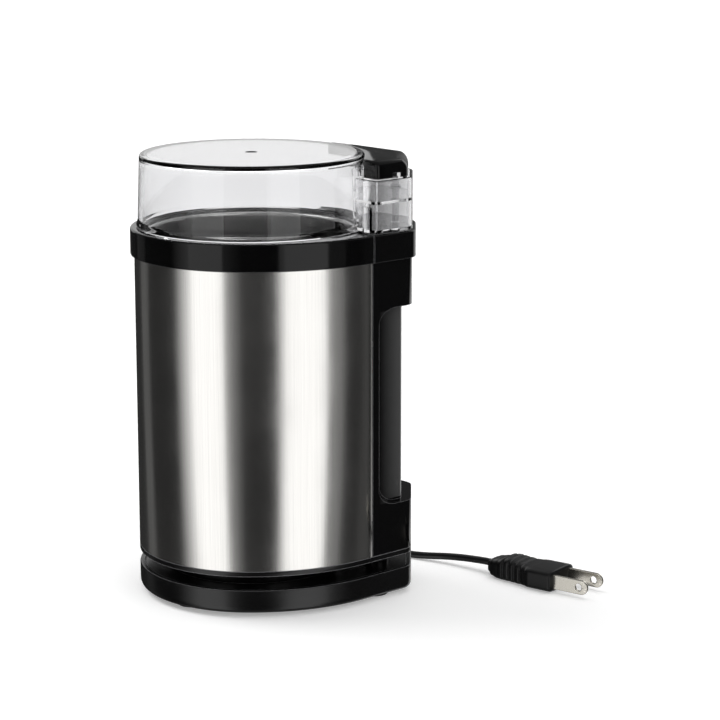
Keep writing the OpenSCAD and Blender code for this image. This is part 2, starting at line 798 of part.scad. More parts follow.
module grinding_bowl() {
    color("#c8c8c8") on_axis() translate([0, 0, bowl_z]) difference() {
        union() {
            rotate_extrude() polygon(bowl_profile(bowl_t, -rim_roll_r));
            translate([0, 0, -rim_roll_r]) rotate_extrude()
                translate([bowl_mouth_r + rim_roll_r, 0]) circle(r = rim_roll_r, $fn = 32);
        }
        rotate_extrude() polygon(bowl_profile(0, 1));
        post(0, 0, -bowl_depth - 1, 1, seal_body_r + slip_gap);
    }
}

module bowl_gasket() {
    color("#303030") on_axis()
        tube_ring(z_ledge, z_ledge + gasket_t, collar_bore_r - slip_gap, bowl_out_r + slip_gap);
}

module bowl_carrier() {
    color("#1c1c1c") on_axis() difference() {
        post(0, 0, z_carrier, bowl_bottom, carrier_r);
        post(0, 0, z_carrier - 1, bowl_bottom + 1, seal_body_r + slip_gap);
        for (a = [20:40:340]) rotate(a) post(carrier_r / 2, 0, z_carrier - 1, bowl_bottom + 1, carrier_vent_r);
    }
}

module shaft_seal() {
    color("#f0f0ea") on_axis() difference() {
        union() {
            post(0, 0, z_carrier + 0.2, z_floor + eps, seal_body_r);
            post(0, 0, z_floor, z_seal, seal_flange_r);
        }
        post(0, 0, z_carrier - 1, z_seal + 1, shaft_r + run_gap);
    }
}

// ---- Motor ----

module stack_plate(z0, z1) {
    translate([-stator_w / 2, -stator_d / 2, z0]) cube([stator_w, stator_d, z1 - z0]);
}

module bolt_holes(z0, z1) {
    for (sx = [-1, 1]) for (sy = [-1, 1])
        post(sx * bolt_x, sy * bolt_y, z0, z1, bolt_r + screw_slip);
}

// Part of a ring between two angles
module ring_part(z0, z1, r_in, r_out, from, sweep) {
    translate([0, 0, z0]) rotate(from) rotate_extrude(angle = sweep)
        translate([r_in, 0]) square([r_out - r_in, z1 - z0]);
}

module stator_core() {
    color("#7d8187") on_axis() difference() {
        stack_plate(z_stack, z_stack + stack_h);
        post(0, 0, z_stack - 1, z_stack + stack_h + 1, bore_r);
        bolt_holes(z_stack - 1, z_stack + stack_h + 1);
        for (middle = pole_angles) for (side = [-1, 1])
            rotate(middle + side * (coil_half_angle - coil_leg_angle / 2) - coil_leg_angle / 2 - 1)
            ring_part(z_stack - 1, z_stack + stack_h + 1, coil_in_r - slip_gap,
                coil_out_r + slip_gap, 0, coil_leg_angle + 2);
    }
}

module field_coils() {
    sweep = 2 * coil_half_angle;
    color("#b5651d") on_axis() for (middle = pole_angles) rotate(middle - coil_half_angle) difference() {
        ring_part(z_stack - coil_end, z_stack + stack_h + coil_end, coil_in_r, coil_out_r, 0, sweep);
        ring_part(z_stack, z_stack + stack_h, coil_in_r - 1, coil_out_r + 1,
            coil_leg_angle, sweep - 2 * coil_leg_angle);
    }
}

module lower_bracket() {
    color("#9a9da1") on_axis() difference() {
        union() {
            stack_plate(z_lower, z_lower + bracket_t);
            post(0, 0, z_lower - bearing_h - cup_floor, z_lower + eps, bearing_r + bearing_slip + cup_wall);
        }
        post(0, 0, z_lower - bearing_h, z_lower + bracket_t + 1, bearing_r + bearing_slip);
        bolt_holes(z_lower - 1, z_lower + bracket_t + 1);
        for (sx = [-1, 1]) for (sy = [-1, 1])
            post(sx * mount_x, sy * mount_y, z_lower - 1, z_lower + bracket_t + 1, screw_r);
    }
}

module upper_bracket() {
    top = z_upper + bracket_t;
    color("#9a9da1") on_axis() difference() {
        union() {
            stack_plate(z_upper, top);
            post(0, 0, top - eps, top + bearing_h + cup_floor, bearing_r + bearing_slip + cup_wall);
        }
        post(0, 0, z_upper - 1, top + bearing_h, bearing_r + bearing_slip);
        post(0, 0, z_upper - 1, z_carrier + 1, shaft_r + 1);
        bolt_holes(z_upper - 1, top + 1);
        for (a = [0, 90, 180, 270]) rotate(a) post(16, 0, z_upper - 1, top + 1, 4);
    }
}

module bearing(z0) {
    color("#b08d57") on_axis() tube_ring(z0, z0 + bearing_h, bearing_r, shaft_r + run_gap);
}

module lower_bearing() {
    bearing(z_lower - bearing_h);
}

module upper_bearing() {
    bearing(z_upper + bracket_t);
}

module spacer_tubes() {
    color("#a8a8a8") on_axis() for (sx = [-1, 1]) for (sy = [-1, 1])
        translate([sx * bolt_x, sy * bolt_y, 0]) {
            tube_ring(z_lower + bracket_t, z_stack, bolt_r + 1.5, bolt_r + screw_slip);
            tube_ring(z_stack + stack_h, z_upper, bolt_r + 1.5, bolt_r + screw_slip);
        }
}

module motor_bolts() {
    top = z_upper + bracket_t;
    color("silver") on_axis() for (sx = [-1, 1]) for (sy = [-1, 1])
        translate([sx * bolt_x, sy * bolt_y, z_lower]) {
            screw(bolt_r, top + 3 - z_lower, bolt_r + 1.4, 2);
            translate([0, 0, top - z_lower]) cylinder(r = bolt_r + 1.6, h = 2.2, $fn = 6);
        }
}

module rubber_mounts() {
    color("#2b2b2b") on_axis() for (sx = [-1, 1]) for (sy = [-1, 1])
        translate([sx * mount_x, sy * mount_y, 0]) tube_ring(z_post, z_lower, mount_r, screw_r);
}

module mount_screws() {
    top = z_lower + bracket_t;
    color("silver") on_axis() for (sx = [-1, 1]) for (sy = [-1, 1])
        translate([sx * mount_x, sy * mount_y, top]) mirror([0, 0, 1])
        screw(screw_r - 0.25, top - z_post + mount_bite, screw_head_r, screw_head_h);
}

module brush_holders() {
    color("#c9a24b") on_axis() for (side = [0, 180]) rotate(side) difference() {
        translate([holder_in, -brush_w / 2 - holder_wall, z_lower + bracket_t])
            cube([holder_out - holder_in, brush_w + 2 * holder_wall,
                brush_z + brush_h / 2 + holder_wall - z_lower - bracket_t]);
        translate([holder_in - 1, -brush_w / 2 - slip_gap, brush_z - brush_h / 2 - slip_gap])
            cube([holder_out - holder_in - holder_wall + 1, brush_w + 2 * slip_gap, brush_h + 2 * slip_gap]);
    }
}

module carbon_brushes() {
    color("#3a3a3a") on_axis() for (side = [0, 180]) rotate(side)
        translate([brush_in, -brush_w / 2, brush_z - brush_h / 2]) cube([brush_l, brush_w, brush_h]);
}

// ---- Rotor ----

module motor_shaft() {
    color("#d0d0d0") on_axis() post(0, 0, z_shaft, z_nut + nut_h - 1, shaft_r);
}

module on_shaft(z0, z1, r) {
    tube_ring(z0, z1, r, shaft_r + run_gap);
}

module rotor_core() {
    rotor_r = bore_r - air_gap;
    color("#6f7278") on_axis() difference() {
        on_shaft(z_stack, z_stack + stack_h, rotor_r);
        for (a = [0:30:330]) rotate(a)
            translate([rotor_r - 4, -0.8, z_stack - 1]) cube([6, 1.6, stack_h + 2]);
    }
}

module rotor_windings() {
    color("#b87333") on_axis() {
        on_shaft(z_stack - coil_end, z_stack, bore_r - air_gap - 2);
        on_shaft(z_stack + stack_h, z_stack + stack_h + coil_end, bore_r - air_gap - 2);
    }
}

module commutator() {
    color("#c77b3b") on_axis() difference() {
        on_shaft(z_comm, z_comm + comm_h, comm_r);
        for (a = [0:30:330]) rotate(a + 15)
            translate([comm_r - 1, -0.3, z_comm - 1]) cube([3, 0.6, comm_h + 2]);
    }
}

module cooling_fan() {
    color("#e2e2da") on_axis() {
        on_shaft(z_fan, z_fan + fan_h, 6.5);
        tube_ring(z_fan, z_fan + 1.4, fan_r, 6);
        for (a = [0:40:320]) rotate(a)
            translate([6, -0.7, z_fan + 1.3]) cube([fan_r - 6.5, 1.4, fan_h - 1.3]);
    }
}

module blade_hub() {
    color("#c8c8c8") on_axis() on_shaft(z_hub, z_blade, hub_r);
}

// Edge of one blade arm along +X, from the hub out and back
function blade_arm() = [
    [2, 4.8], [6, 4.4], [10, 2.6], [blade_bend, 1.6], [blade_r - 1, 1.6], [blade_r, 0.6],
    [blade_r, 2.6 - blade_tip_w], [blade_r - 2, 1.6 - blade_tip_w],
    [blade_bend, 1.6 - blade_tip_w], [blade_bend - 1, 2.6 - blade_w], [6, 2.6 - blade_w]
];

module grinding_blade() {
    ramp = blade_bend + 4;
    color("#dcdcdc") on_axis() difference() {
        intersection() {
            translate([0, 0, z_blade - 1]) linear_extrude(blade_t + blade_rise + 2)
                polygon(concat(blade_arm(), [for (p = blade_arm()) -p]));
            translate([0, far / 2, z_blade]) rotate([90, 0, 0]) linear_extrude(far) polygon([
                [-far, blade_rise], [-ramp, blade_rise], [-blade_bend, 0], [blade_bend, 0],
                [ramp, blade_rise], [far, blade_rise], [far, blade_rise + blade_t],
                [ramp, blade_rise + blade_t], [blade_bend, blade_t], [-blade_bend, blade_t],
                [-ramp, blade_rise + blade_t], [-far, blade_rise + blade_t]
            ]);
        }
        post(0, 0, z_blade - 2, z_blade + blade_t + 2, shaft_r + run_gap);
        for (side = [0, 180]) rotate(side)
            post(blade_hole_x, -1.6, z_blade - 2, z_blade + blade_t + 2, blade_hole_r);
    }
}

module blade_nut() {
    color("#d8d8d8") on_axis() difference() {
        union() {
            translate([0, 0, z_nut]) cylinder(r = nut_r, h = nut_h - 1, $fn = 6);
            post(0, 0, z_nut + nut_h - 1 - eps, z_nut + nut_h, nut_r - 1);
        }
        post(0, 0, z_nut - 1, z_nut + nut_h - 1 + run_gap, shaft_r + run_gap);
    }
}

// ---- Lid ----

module lid_cup(r_top, r_foot, z0, z1) {
    translate([0, 0, z0]) cylinder(r1 = r_foot, r2 = r_top, h = z1 - z0, $fn = 180);
}

module box_slab(z0, z1, grow, inset) {
    translate([0, 0, z0]) linear_extrude(z1 - z0) intersection() {
        outline(grow);
        wedge(inset);
    }
}

module lid_shell() {
    color("lightcyan", 0.4) on_axis() {
        difference() {
            union() {
                lid_cup(lid_top_r, lid_foot_r, lid_z, z_lid_top);
                box_slab(box_z, box_top, box_out, 0);
                for (side = [-1, 1]) box_lug(side);
            }
            lid_cup(lid_top_r - lid_wall, lid_foot_r - lid_wall, lid_z - eps, z_lid_top - lid_wall);
            difference() {
                box_slab(box_z + box_wall, box_top + 1, box_in, box_wall);
                lid_cup(lid_top_r, lid_foot_r, lid_z, z_lid_top);
                box_slab(shelf_z, shelf_z + shelf_t, box_in + eps, box_wall - eps);
            }
            rod_slot(box_z - 1, box_top + 1);
        }
        for (side = [-1, 1]) translate([side * (ear_x + ear_t / 2), 0, 0]) lid_ear();
    }
}

// Small block on the lower half of a front wall of the box
module box_lug(side) {
    mid_x = side * (box_corner_x - 4.5 * cos(flank_angle));
    mid_y = box_corner_y - 4.5 * sin(flank_angle);
    translate([mid_x, mid_y, box_z]) rotate(side * flank_angle)
        translate([-2.2, -lug_l, 0]) cube([4.4, lug_l + box_wall / 2, (box_top - box_z) / 2]);
}

// Clear ear that carries the hinge pin
module lid_ear() {
    translate([-ear_t / 2, 0, 0]) difference() {
        union() {
            translate([0, pin_y, pin_z]) rotate([0, 90, 0]) cylinder(r = ear_r, h = ear_t, $fn = 48);
            translate([0, lid_top_r - lid_wall, pin_z - ear_r])
                cube([ear_t, pin_y - lid_top_r + lid_wall, 2 * ear_r - 0.6]);
        }
        translate([-1, pin_y, pin_z]) rotate([0, 90, 0])
            cylinder(r = pin_r + run_gap, h = ear_t + 2, $fn = 48);
        translate([-20, 0, 0]) lid_cup(lid_top_r - lid_wall, lid_foot_r - lid_wall, lid_z, z_lid_top - lid_wall);
    }
}

module hinge_pin() {
    color("silver") on_axis() translate([-pin_half_l, pin_y, pin_z]) rotate([0, 90, 0])
        cylinder(r = pin_r, h = 2 * pin_half_l, $fn = 48);
}

// Torsion spring round the hinge pin
module bar_spring() {
    turns = 4;
    pitch = 1.3;
    coil = 1.8;
    route = [for (i = [0:turns * 12])
        [i * pitch / 12 - turns * pitch / 2, pin_y + coil * cos(30 * i), pin_z + coil * sin(30 * i)]];
    color("silver") on_axis() wire(route, 0.35, 8, [1, 0.1, 0.1]);
}

module lid_pusher() {
    color("lightcyan", 0.5) on_axis() {
        translate([-rod_w / 2, rod_y - rod_t / 2, box_z]) cube([rod_w, rod_t, pusher_top - box_z]);
        translate([-rod_w / 2 - 1, rod_y - rod_t / 2 - 0.8, shelf_z + shelf_t + rod_travel + 0.2])
            cube([rod_w + 2, rod_t + 1.6, flange_t]);
    }
}

// ---- Press bar ----

module press_bar() {
    color("#101010") on_axis() difference() {
        union() {
            difference() {
                intersection() {
                    union() {
                        bar_slab(bar_z, z_lid_top, 0, bar_front_gap) wedge(cheek_inset);
                        bar_slab(bar_z + wing_lift, z_lid_top, 0, bar_front_gap) wing_area();
                    }
                    bar_crown_shape();
                }
                bar_slab(bar_z - 1, bar_under, bar_wall, bar_back_gap + bar_wall) {
                    wedge(cheek_inset + bar_wall);
                    wing_area(bar_wall);
                }
                tube_ring(bar_z - 1, bar_under, lid_top_r + bar_back_gap, 20);
                translate([-pin_half_l - 2, lid_top_r - 7, bar_z - 1])
                    cube([2 * pin_half_l + 4, pin_gap + ear_r + 7.1, bar_under - bar_z + 1]);
            }
            for (side = [-1, 1]) hinge_lug(side);
            translate([-rod_w / 2 + 0.5, rod_y - 1, pusher_top + move_gap])
                cube([rod_w - 1, 2, bar_under + eps - pusher_top - move_gap]);
            translate([-leg_w / 2, leg_y, bar_z - 2])
                cube([leg_w, leg_t, 5]);
        }
        for (side = [-1, 1]) translate([side * (notch_x + notch_w / 2) - notch_w / 2, notch_y, bar_z - 1])
            cube([notch_w, notch_l, notch_h + 1]);
        translate([-pin_half_l - 0.5, pin_y, pin_z]) rotate([0, 90, 0])
            cylinder(r = pin_r + run_gap, h = 2 * pin_half_l + 1, $fn = 48);
    }
}

// Slab over the plan that its children draw, kept inside the outline and clear of the lid
module bar_slab(z0, z1, shrink, gap) {
    translate([0, 0, z0]) linear_extrude(z1 - z0) difference() {
        intersection() {
            outline(-bar_inset - shrink);
            union() children();
        }
        circle(r = lid_top_r + gap, $fn = 180);
        translate([0, -far]) square([far, far + cheek_y + shrink]);
    }
}

// Plan of the long wing on the left, between the lid and the flank of the body
module wing_area(inset = 0) {
    translate([-far, wing_y + inset]) square([far - wing_x - inset, wing_reach + wing_overlap - inset]);
}

// Block with a crowned top, a shallow arch that falls from the middle to the flanks and stays level
// over the wing, and a rolled back edge
module bar_crown_shape() {
    half = box_corner_x;
    back = tail_end - bar_inset;
    arch = [for (i = [-6:6]) [half * i / 6, -bar_crown * i * i / 36]];
    intersection() {
        translate([0, far, z_lid_top]) rotate([90, 0, 0]) linear_extrude(far)
            polygon(concat([[-far, -far], [-far, -bar_crown]], arch, [[half, -far]]));
        translate([-far, 0, 0]) rotate([90, 0, 90]) linear_extrude(2 * far) union() {
            square([back - bar_roll_r, z_lid_top + 1]);
            square([back + 1, z_lid_top - bar_roll_r]);
            translate([back - bar_roll_r, z_lid_top - bar_roll_r]) circle(r = bar_roll_r, $fn = 64);
        }
    }
}

module hinge_lug(side) {
    top = bar_under + eps;
    translate([side * (lug_x + 1) - 1, 0, 0]) {
        translate([0, pin_y, pin_z]) rotate([0, 90, 0]) cylinder(r = ear_r, h = 2, $fn = 48);
        translate([0, pin_y - ear_r + 0.4, pin_z]) cube([2, 2 * ear_r - 0.8, top - pin_z]);
    }
}

// ---- Switch ----

module micro_switch() {
    color("#2a2a2e") on_axis() difference() {
        union() {
            translate([-switch_w / 2, rod_y - switch_t / 2, z_switch]) cube([switch_w, switch_t, switch_h]);
            for (i = [-1:1]) translate([i * terminal_pitch - 1.5, terminal_y - 0.4, terminal_z])
                cube([3, 0.8, terminal_l + eps]);
        }
        for (side = [-1, 1])
            translate([side * switch_hole_x, rod_y - switch_t, z_switch + switch_h / 2])
            rotate([-90, 0, 0]) cylinder(r = switch_screw_r + 0.2, h = 2 * switch_t, $fn = 32);
        post(0, rod_y, z_switch + switch_h - rod_travel - 1.5, z_switch + switch_h + 1, plunger_r + move_gap);
    }
}

module switch_screws() {
    color("silver") on_axis() for (side = [-1, 1])
        translate([side * switch_hole_x, rod_y - switch_t / 2, z_switch + switch_h / 2])
        rotate([-90, 0, 0]) screw(switch_screw_r, switch_t + 2, 1.7, 1);
}

module switch_rod() {
    color("#e8e8e8") on_axis() {
        translate([-rod_w / 2, rod_y - rod_t / 2, plunger_top])
            cube([rod_w, rod_t, z_top - plunger_top]);
        translate([-rod_w / 2 - 1.5, rod_y - rod_t / 2 - 1.5, rod_flange_z])
            cube([rod_w + 3, rod_t + 3, flange_t]);
    }
}

module switch_plunger() {
    color("#c03020") on_axis()
        post(0, rod_y, z_switch + switch_h - 1, plunger_top, plunger_r);
}

module rod_spring() {
    turns = 4;
    wire_r = 0.3;
    coil = rod_w / 2 + 0.9;
    rise = rod_flange_z - z_collar - 2 * wire_r - 0.3;
    route = [for (i = [0:turns * 14])
        [coil * cos(360 * i / 14), rod_y + coil * sin(360 * i / 14),
            z_collar + wire_r + 0.15 + rise * i / (turns * 14)]];
    color("silver") on_axis() wire(route, wire_r, 6);
}

module motor_leads() {
    color("#8a1f1f") on_axis() {
        wire(mains_lead, lead_r, 8, [1, 0.2, 0.1]);
        wire(brush_lead, lead_r, 8, [1, 0.2, 0.1]);
        mirror([1, 0, 0]) wire(brush_lead, lead_r, 8, [1, 0.2, 0.1]);
    }
}

// ---- Cord and plug ----

module cord_grommet() {
    color("#181818") on_axis() translate([grommet_start, exit_y, exit_z]) rotate([0, -90, 0]) difference() {
        union() {
            cylinder(r1 = grommet_r0, r2 = grommet_r1, h = grommet_start - grommet_end, $fn = 48);
            translate([0, 0, -grommet_neck - grommet_flange_t])
                cylinder(r = grommet_flange_r, h = grommet_flange_t, $fn = 48);
            translate([0, 0, -grommet_neck - eps]) cylinder(r = grommet_r0, h = grommet_neck + 2 * eps, $fn = 48);
        }
        for (step = [0:3]) translate([0, 0, 8 + 2.4 * step]) difference() {
            cylinder(r = grommet_r0 + 1, h = 0.9, $fn = 48);
            cylinder(r = cord_r + 0.35, h = 0.9, $fn = 48);
        }
    }
}

module cord_to_coil() {
    color("#151515") on_axis() wire(route_in, cord_r, cord_sides);
}

module cord_coil() {
    color("#151515") on_axis() translate([coil_centre[0], coil_centre[1], 0]) rotate_extrude() {
        translate([coil_in, coil_turn_r]) square([coil_out - coil_in, coil_h - 2 * coil_turn_r]);
        translate([coil_in + coil_turn_r, 0]) square([coil_out - coil_in - 2 * coil_turn_r, coil_h]);
        for (r = [coil_in + coil_turn_r, coil_out - coil_turn_r])
            for (z = [coil_turn_r, coil_h - coil_turn_r])
                translate([r, z]) circle(r = coil_turn_r, $fn = 32);
    }
}

// Strap round the bundle of turns, on the far side of the coil
module coil_tie() {
    gap = slip_gap;
    color("#0d0d0d") on_axis() translate([coil_centre[0], coil_centre[1], 0]) difference() {
        translate([-coil_out - gap - tie_t, -tie_w / 2, 0])
            cube([coil_out - coil_in + 2 * gap + 2 * tie_t, tie_w, coil_h + gap + tie_t]);
        translate([-coil_out - gap, -tie_w, tie_t])
            cube([coil_out - coil_in + 2 * gap, 2 * tie_w, coil_h + gap - tie_t]);
    }
}

module cord_to_plug() {
    color("#151515") on_axis() wire(route_out, cord_r, cord_sides);
}

// Puts what is drawn along +Y from the cord end into the plug's place
module at_plug() {
    on_axis() translate([plug_rear[0], plug_rear[1], 0]) rotate(plug_turn) children();
}

module plug_body() {
    half = plug_w / 2;
    block = plug_l - 13.5;
    color("#131313") at_plug() difference() {
        intersection() {
            linear_extrude(far) polygon([
                [-plug_nose_half_w, 0], [plug_nose_half_w, 0], [plug_nose_half_w + 1.6, 2.4],
                [plug_waist_half_w, plug_rib_start - 1], [plug_waist_half_w + 1.8, block - 2], [half, block],
                [half, plug_l], [-half, plug_l], [-half, block], [-plug_waist_half_w - 1.8, block - 2],
                [-plug_waist_half_w, plug_rib_start - 1], [-plug_nose_half_w - 1.6, 2.4]
            ]);
            translate([-far / 2, 0, 0]) rotate([90, 0, 90]) linear_extrude(far) polygon([
                [0, 2], [2, 0.8], [8, 0], [plug_l, 0], [plug_l, plug_h], [block, plug_h],
                [15, plug_h + 0.2], [12, plug_h + 1], [9, plug_h + 1], [6, plug_h - 0.6],
                [2, 8.2], [0, 7.4]
            ]);
        }
        for (i = [0:plug_ribs - 1]) translate([0, plug_rib_start + plug_rib_pitch * i, 0]) {
            for (side = [-1, 1])
                translate([side * (plug_waist_half_w + 0.6 * i + 2 - plug_rib_depth) - 2, 0, 1.2])
                cube([4, plug_rib_w, plug_h - 3]);
        }
        for (side = [-1, 1]) translate([side * prong_pitch / 2, plug_l - prong_root, plug_h / 2])
            translate([-prong_t / 2 - slip_gap / 2, 0, -prong_w / 2 - slip_gap / 2])
            cube([prong_t + slip_gap, prong_root + 1, prong_w + slip_gap]);
    }
}

module plug_prongs() {
    color("#c9c2b4") at_plug() for (side = [-1, 1])
        translate([side * prong_pitch / 2 - prong_t / 2, plug_l - prong_root, plug_h / 2])
        rotate([90, 0, 90]) linear_extrude(prong_t) difference() {
            union() {
                translate([0.1, -prong_w / 2]) square([prong_root + prong_l - prong_w / 2 - 0.1, prong_w]);
                translate([prong_root + prong_l - prong_w / 2, 0]) circle(r = prong_w / 2, $fn = 48);
            }
            translate([prong_root + prong_l - 4.5, 0]) circle(r = prong_hole_r, $fn = 32);
        }
}

base_plate();
rubber_feet();
base_screws();
cord_spool();
tail_spacer();
motor_housing();
steel_sleeve();
tail_cover();
tail_screws();
top_collar();
grinding_bowl();
bowl_gasket();
bowl_carrier();
shaft_seal();
stator_core();
field_coils();
lower_bracket();
upper_bracket();
lower_bearing();
upper_bearing();
spacer_tubes();
motor_bolts();
rubber_mounts();
mount_screws();
brush_holders();
carbon_brushes();
micro_switch();
switch_screws();
motor_leads();
cord_grommet();
cord_to_coil();
cord_coil();
coil_tie();
cord_to_plug();
plug_body();
plug_prongs();
motor_shaft();
rotor_core();
rotor_windings();
commutator();
cooling_fan();
blade_hub();
grinding_blade();
blade_nut();
lid_shell();
hinge_pin();
bar_spring();
lid_pusher();
press_bar();
switch_rod();
switch_plunger();
rod_spring();
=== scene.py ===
import json
import logging
import math
from dataclasses import dataclass
from enum import Enum
from typing import Sequence

import bmesh
import bpy
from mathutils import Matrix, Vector


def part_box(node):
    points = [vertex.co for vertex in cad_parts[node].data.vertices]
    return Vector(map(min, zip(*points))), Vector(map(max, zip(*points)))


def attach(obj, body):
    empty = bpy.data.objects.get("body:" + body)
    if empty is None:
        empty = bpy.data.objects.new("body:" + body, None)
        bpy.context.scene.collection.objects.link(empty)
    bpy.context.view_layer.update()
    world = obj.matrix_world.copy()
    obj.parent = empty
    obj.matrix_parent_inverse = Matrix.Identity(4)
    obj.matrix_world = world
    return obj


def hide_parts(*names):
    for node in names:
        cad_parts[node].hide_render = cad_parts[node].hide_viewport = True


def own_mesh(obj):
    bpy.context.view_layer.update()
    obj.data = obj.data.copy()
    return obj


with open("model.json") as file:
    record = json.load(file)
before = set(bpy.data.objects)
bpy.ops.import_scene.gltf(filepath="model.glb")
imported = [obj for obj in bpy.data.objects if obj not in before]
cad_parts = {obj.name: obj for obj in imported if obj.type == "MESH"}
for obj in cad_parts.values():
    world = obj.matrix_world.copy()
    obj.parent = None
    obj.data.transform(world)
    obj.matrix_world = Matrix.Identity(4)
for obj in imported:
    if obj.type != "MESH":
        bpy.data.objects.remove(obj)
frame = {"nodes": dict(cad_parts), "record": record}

LOG = logging.getLogger("spice_grinder")
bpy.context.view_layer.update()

MM = 0.001
MERGE_DISTANCE = 1e-6
SHARP_ANGLE = 38.0
CRISP_ANGLE = 50.0
ROUND_STEPS = 160

Point2 = tuple[float, float]
Point3 = tuple[float, float, float]
Colour = tuple[float, float, float]
Socket = bpy.types.NodeSocket

MIDDLE: Point2 = (0.0, 0.0)


class Relief(Enum):
    """What raises a surface: nothing, the grain of its mould, or upright brush lines."""

    SMOOTH = "smooth"
    GRAINED = "grained"
    BRUSHED = "brushed"


class Shaping(Enum):
    """How one solid changes another."""

    ADD = "UNION"
    CUT = "DIFFERENCE"


# ---------------------------------------------------------------- plans


def arc(centre: Point2, radius: float, first: float, last: float, steps: int,
        whole: bool = True) -> list[Point2]:
    """Points of an arc.

    Args:
        centre: Centre of the arc.
        radius: Its radius.
        first: Starting angle in radians.
        last: End angle in radians.
        steps: Pieces between the two angles.
        whole: Whether the end point is given too.

    Returns:
        The points in order.
    """
    angles = [first + (last - first) * k / steps for k in range(steps + 1 if whole else steps)]
    return [(centre[0] + radius * math.cos(a), centre[1] + radius * math.sin(a)) for a in angles]


def circle(centre: Point2, radius: float, sides: int = 40) -> list[Point2]:
    """Points of a whole circle."""
    return arc(centre, radius, 0.0, 2 * math.pi, sides, whole=False)


def both_sides(near: float, far: float) -> list[Point2]:
    """The same span on the left and on the right of the middle."""
    return [(-far, -near), (near, far)]


def edge_points(offset: float, height: float, edge: Sequence[Point2]) -> list[Point2]:
    """An edge's section, moved to an offset and a height."""
    return [(offset + across, height + up) for across, up in edge]


def fillet(points: Sequence[Sequence[float]], radii: Sequence[float], closed: bool = True,
           steps: int = 5) -> list[tuple[float, ...]]:
    """Round the corners of a path, flat or in space.

    Args:
        points: Corners of the path in order.
        radii: One radius per corner, 0 for a sharp one.
        closed: Whether the last corner joins the first.
        steps: Pieces per rounded corner.

    Returns:
        The rounded path.
    """
    longest_share = 0.49
    out: list[tuple[float, ...]] = []
    count = len(points)
    for i, corner in enumerate(points):
        here = Vector(corner)
        radius = radii[i]
        if radius <= 0 or (not closed and i in (0, count - 1)):
            out.append(tuple(here))
            continue
        back = Vector(points[i - 1]) - here
        ahead = Vector(points[(i + 1) % count]) - here
        reach = min(radius / math.tan(back.angle(ahead) / 2), back.length * longest_share,
                    ahead.length * longest_share)
        start = here + back.normalized() * reach
        end = here + ahead.normalized() * reach
        for k in range(steps + 1):
            t = k / steps
            out.append(tuple(start.lerp(here, t).lerp(here.lerp(end, t), t)))
    return out


@dataclass(frozen=True)
class Outline:
    """Teardrop plan of the body in millimetres, round the motor axis.

    steps holds the pieces of the round front, of a flank's bend and of a tail corner. A path
    that ends at a seam leaves out the points nearer to it than seam_gap.
    """

    body_r: float = 50.0
    flank_r: float = 72.0
    angle: float = math.radians(42.5)
    tail_end: float = 68.0
    corner_r: float = 7.5
    axis_y: float = -9.0
    steps: tuple[int, int, int] = (30, 16, 9)
    seam_gap: float = 0.6

    @property
    def shift(self) -> float:
        """How far the centre of a flank lies beyond the axis."""
        return self.flank_r - self.body_r

    @property
    def flank_dist(self) -> float:
        """Distance of a straight flank from the axis."""
        return self.flank_r - self.shift * math.cos(self.angle)

    @property
    def corner(self) -> Point2:
        """Centre of the right-hand corner at the tail."""
        y = self.tail_end - self.corner_r
        return self.flank_x(y, -self.corner_r), y

    def flank_x(self, y: float, grow: float = 0.0) -> float:
        """Half-width of the straight flank at y, with the outline grown by grow."""
        return (self.flank_dist + grow - y * math.sin(self.angle)) / math.cos(self.angle)

    def half(self, grow: float, fine: int = 1) -> list[Point2]:
        """Right half of the outline, from the front middle to the tail middle.

        Args:
            grow: Outward offset in millimetres.
            fine: Multiplies the number of points.

        Returns:
            Points round the motor axis.
        """
        body, flank, corner = (count * fine for count in self.steps)
        points = arc(MIDDLE, self.body_r + grow, -math.pi / 2, 0.0, body, whole=False)
        points += arc((-self.shift, 0.0), self.flank_r + grow, 0.0, self.angle, flank)
        points += arc(self.corner, self.corner_r + grow, self.angle, math.pi / 2, corner)
        points.append((0.0, self.tail_end + grow))
        return points

    def loop(self, grow: float, fine: int = 1) -> list[Point2]:
        """Whole outline, from the front middle round by the right, grown by grow."""
        right = self.half(grow, fine)
        return right + [(-x, y) for x, y in right[-2:0:-1]]

    def front(self, grow: float, seam_y: float, fine: int = 1) -> list[Point2]:
        """Open path of the outline in front of the seam, from right to left.

        Args:
            grow: Outward offset in millimetres.
            seam_y: Where the seam lies along the body.
            fine: Multiplies the number of points.

        Returns:
            Points round the motor axis.
        """
        right = [p for p in self.half(grow, fine) if p[1] < seam_y - self.seam_gap]
        right.append((self.flank_x(seam_y, grow), seam_y))
        return right[::-1] + [(-x, y) for x, y in right[1:]]


OUTLINE = Outline()


def place(p: Point2, z: float) -> Vector:
    """A point round the motor axis, in millimetres, as metres in the row frame."""
    return Vector((p[0], p[1] + OUTLINE.axis_y, z)) * MM


# ---------------------------------------------------------------- meshes


def smooth_mesh(mesh: bpy.types.Mesh, angle: float = SHARP_ANGLE) -> None:
    """Shade a mesh smooth and keep edges sharper than angle degrees."""
    mesh.shade_smooth()
    mesh.set_sharp_from_angle(angle=math.radians(angle))


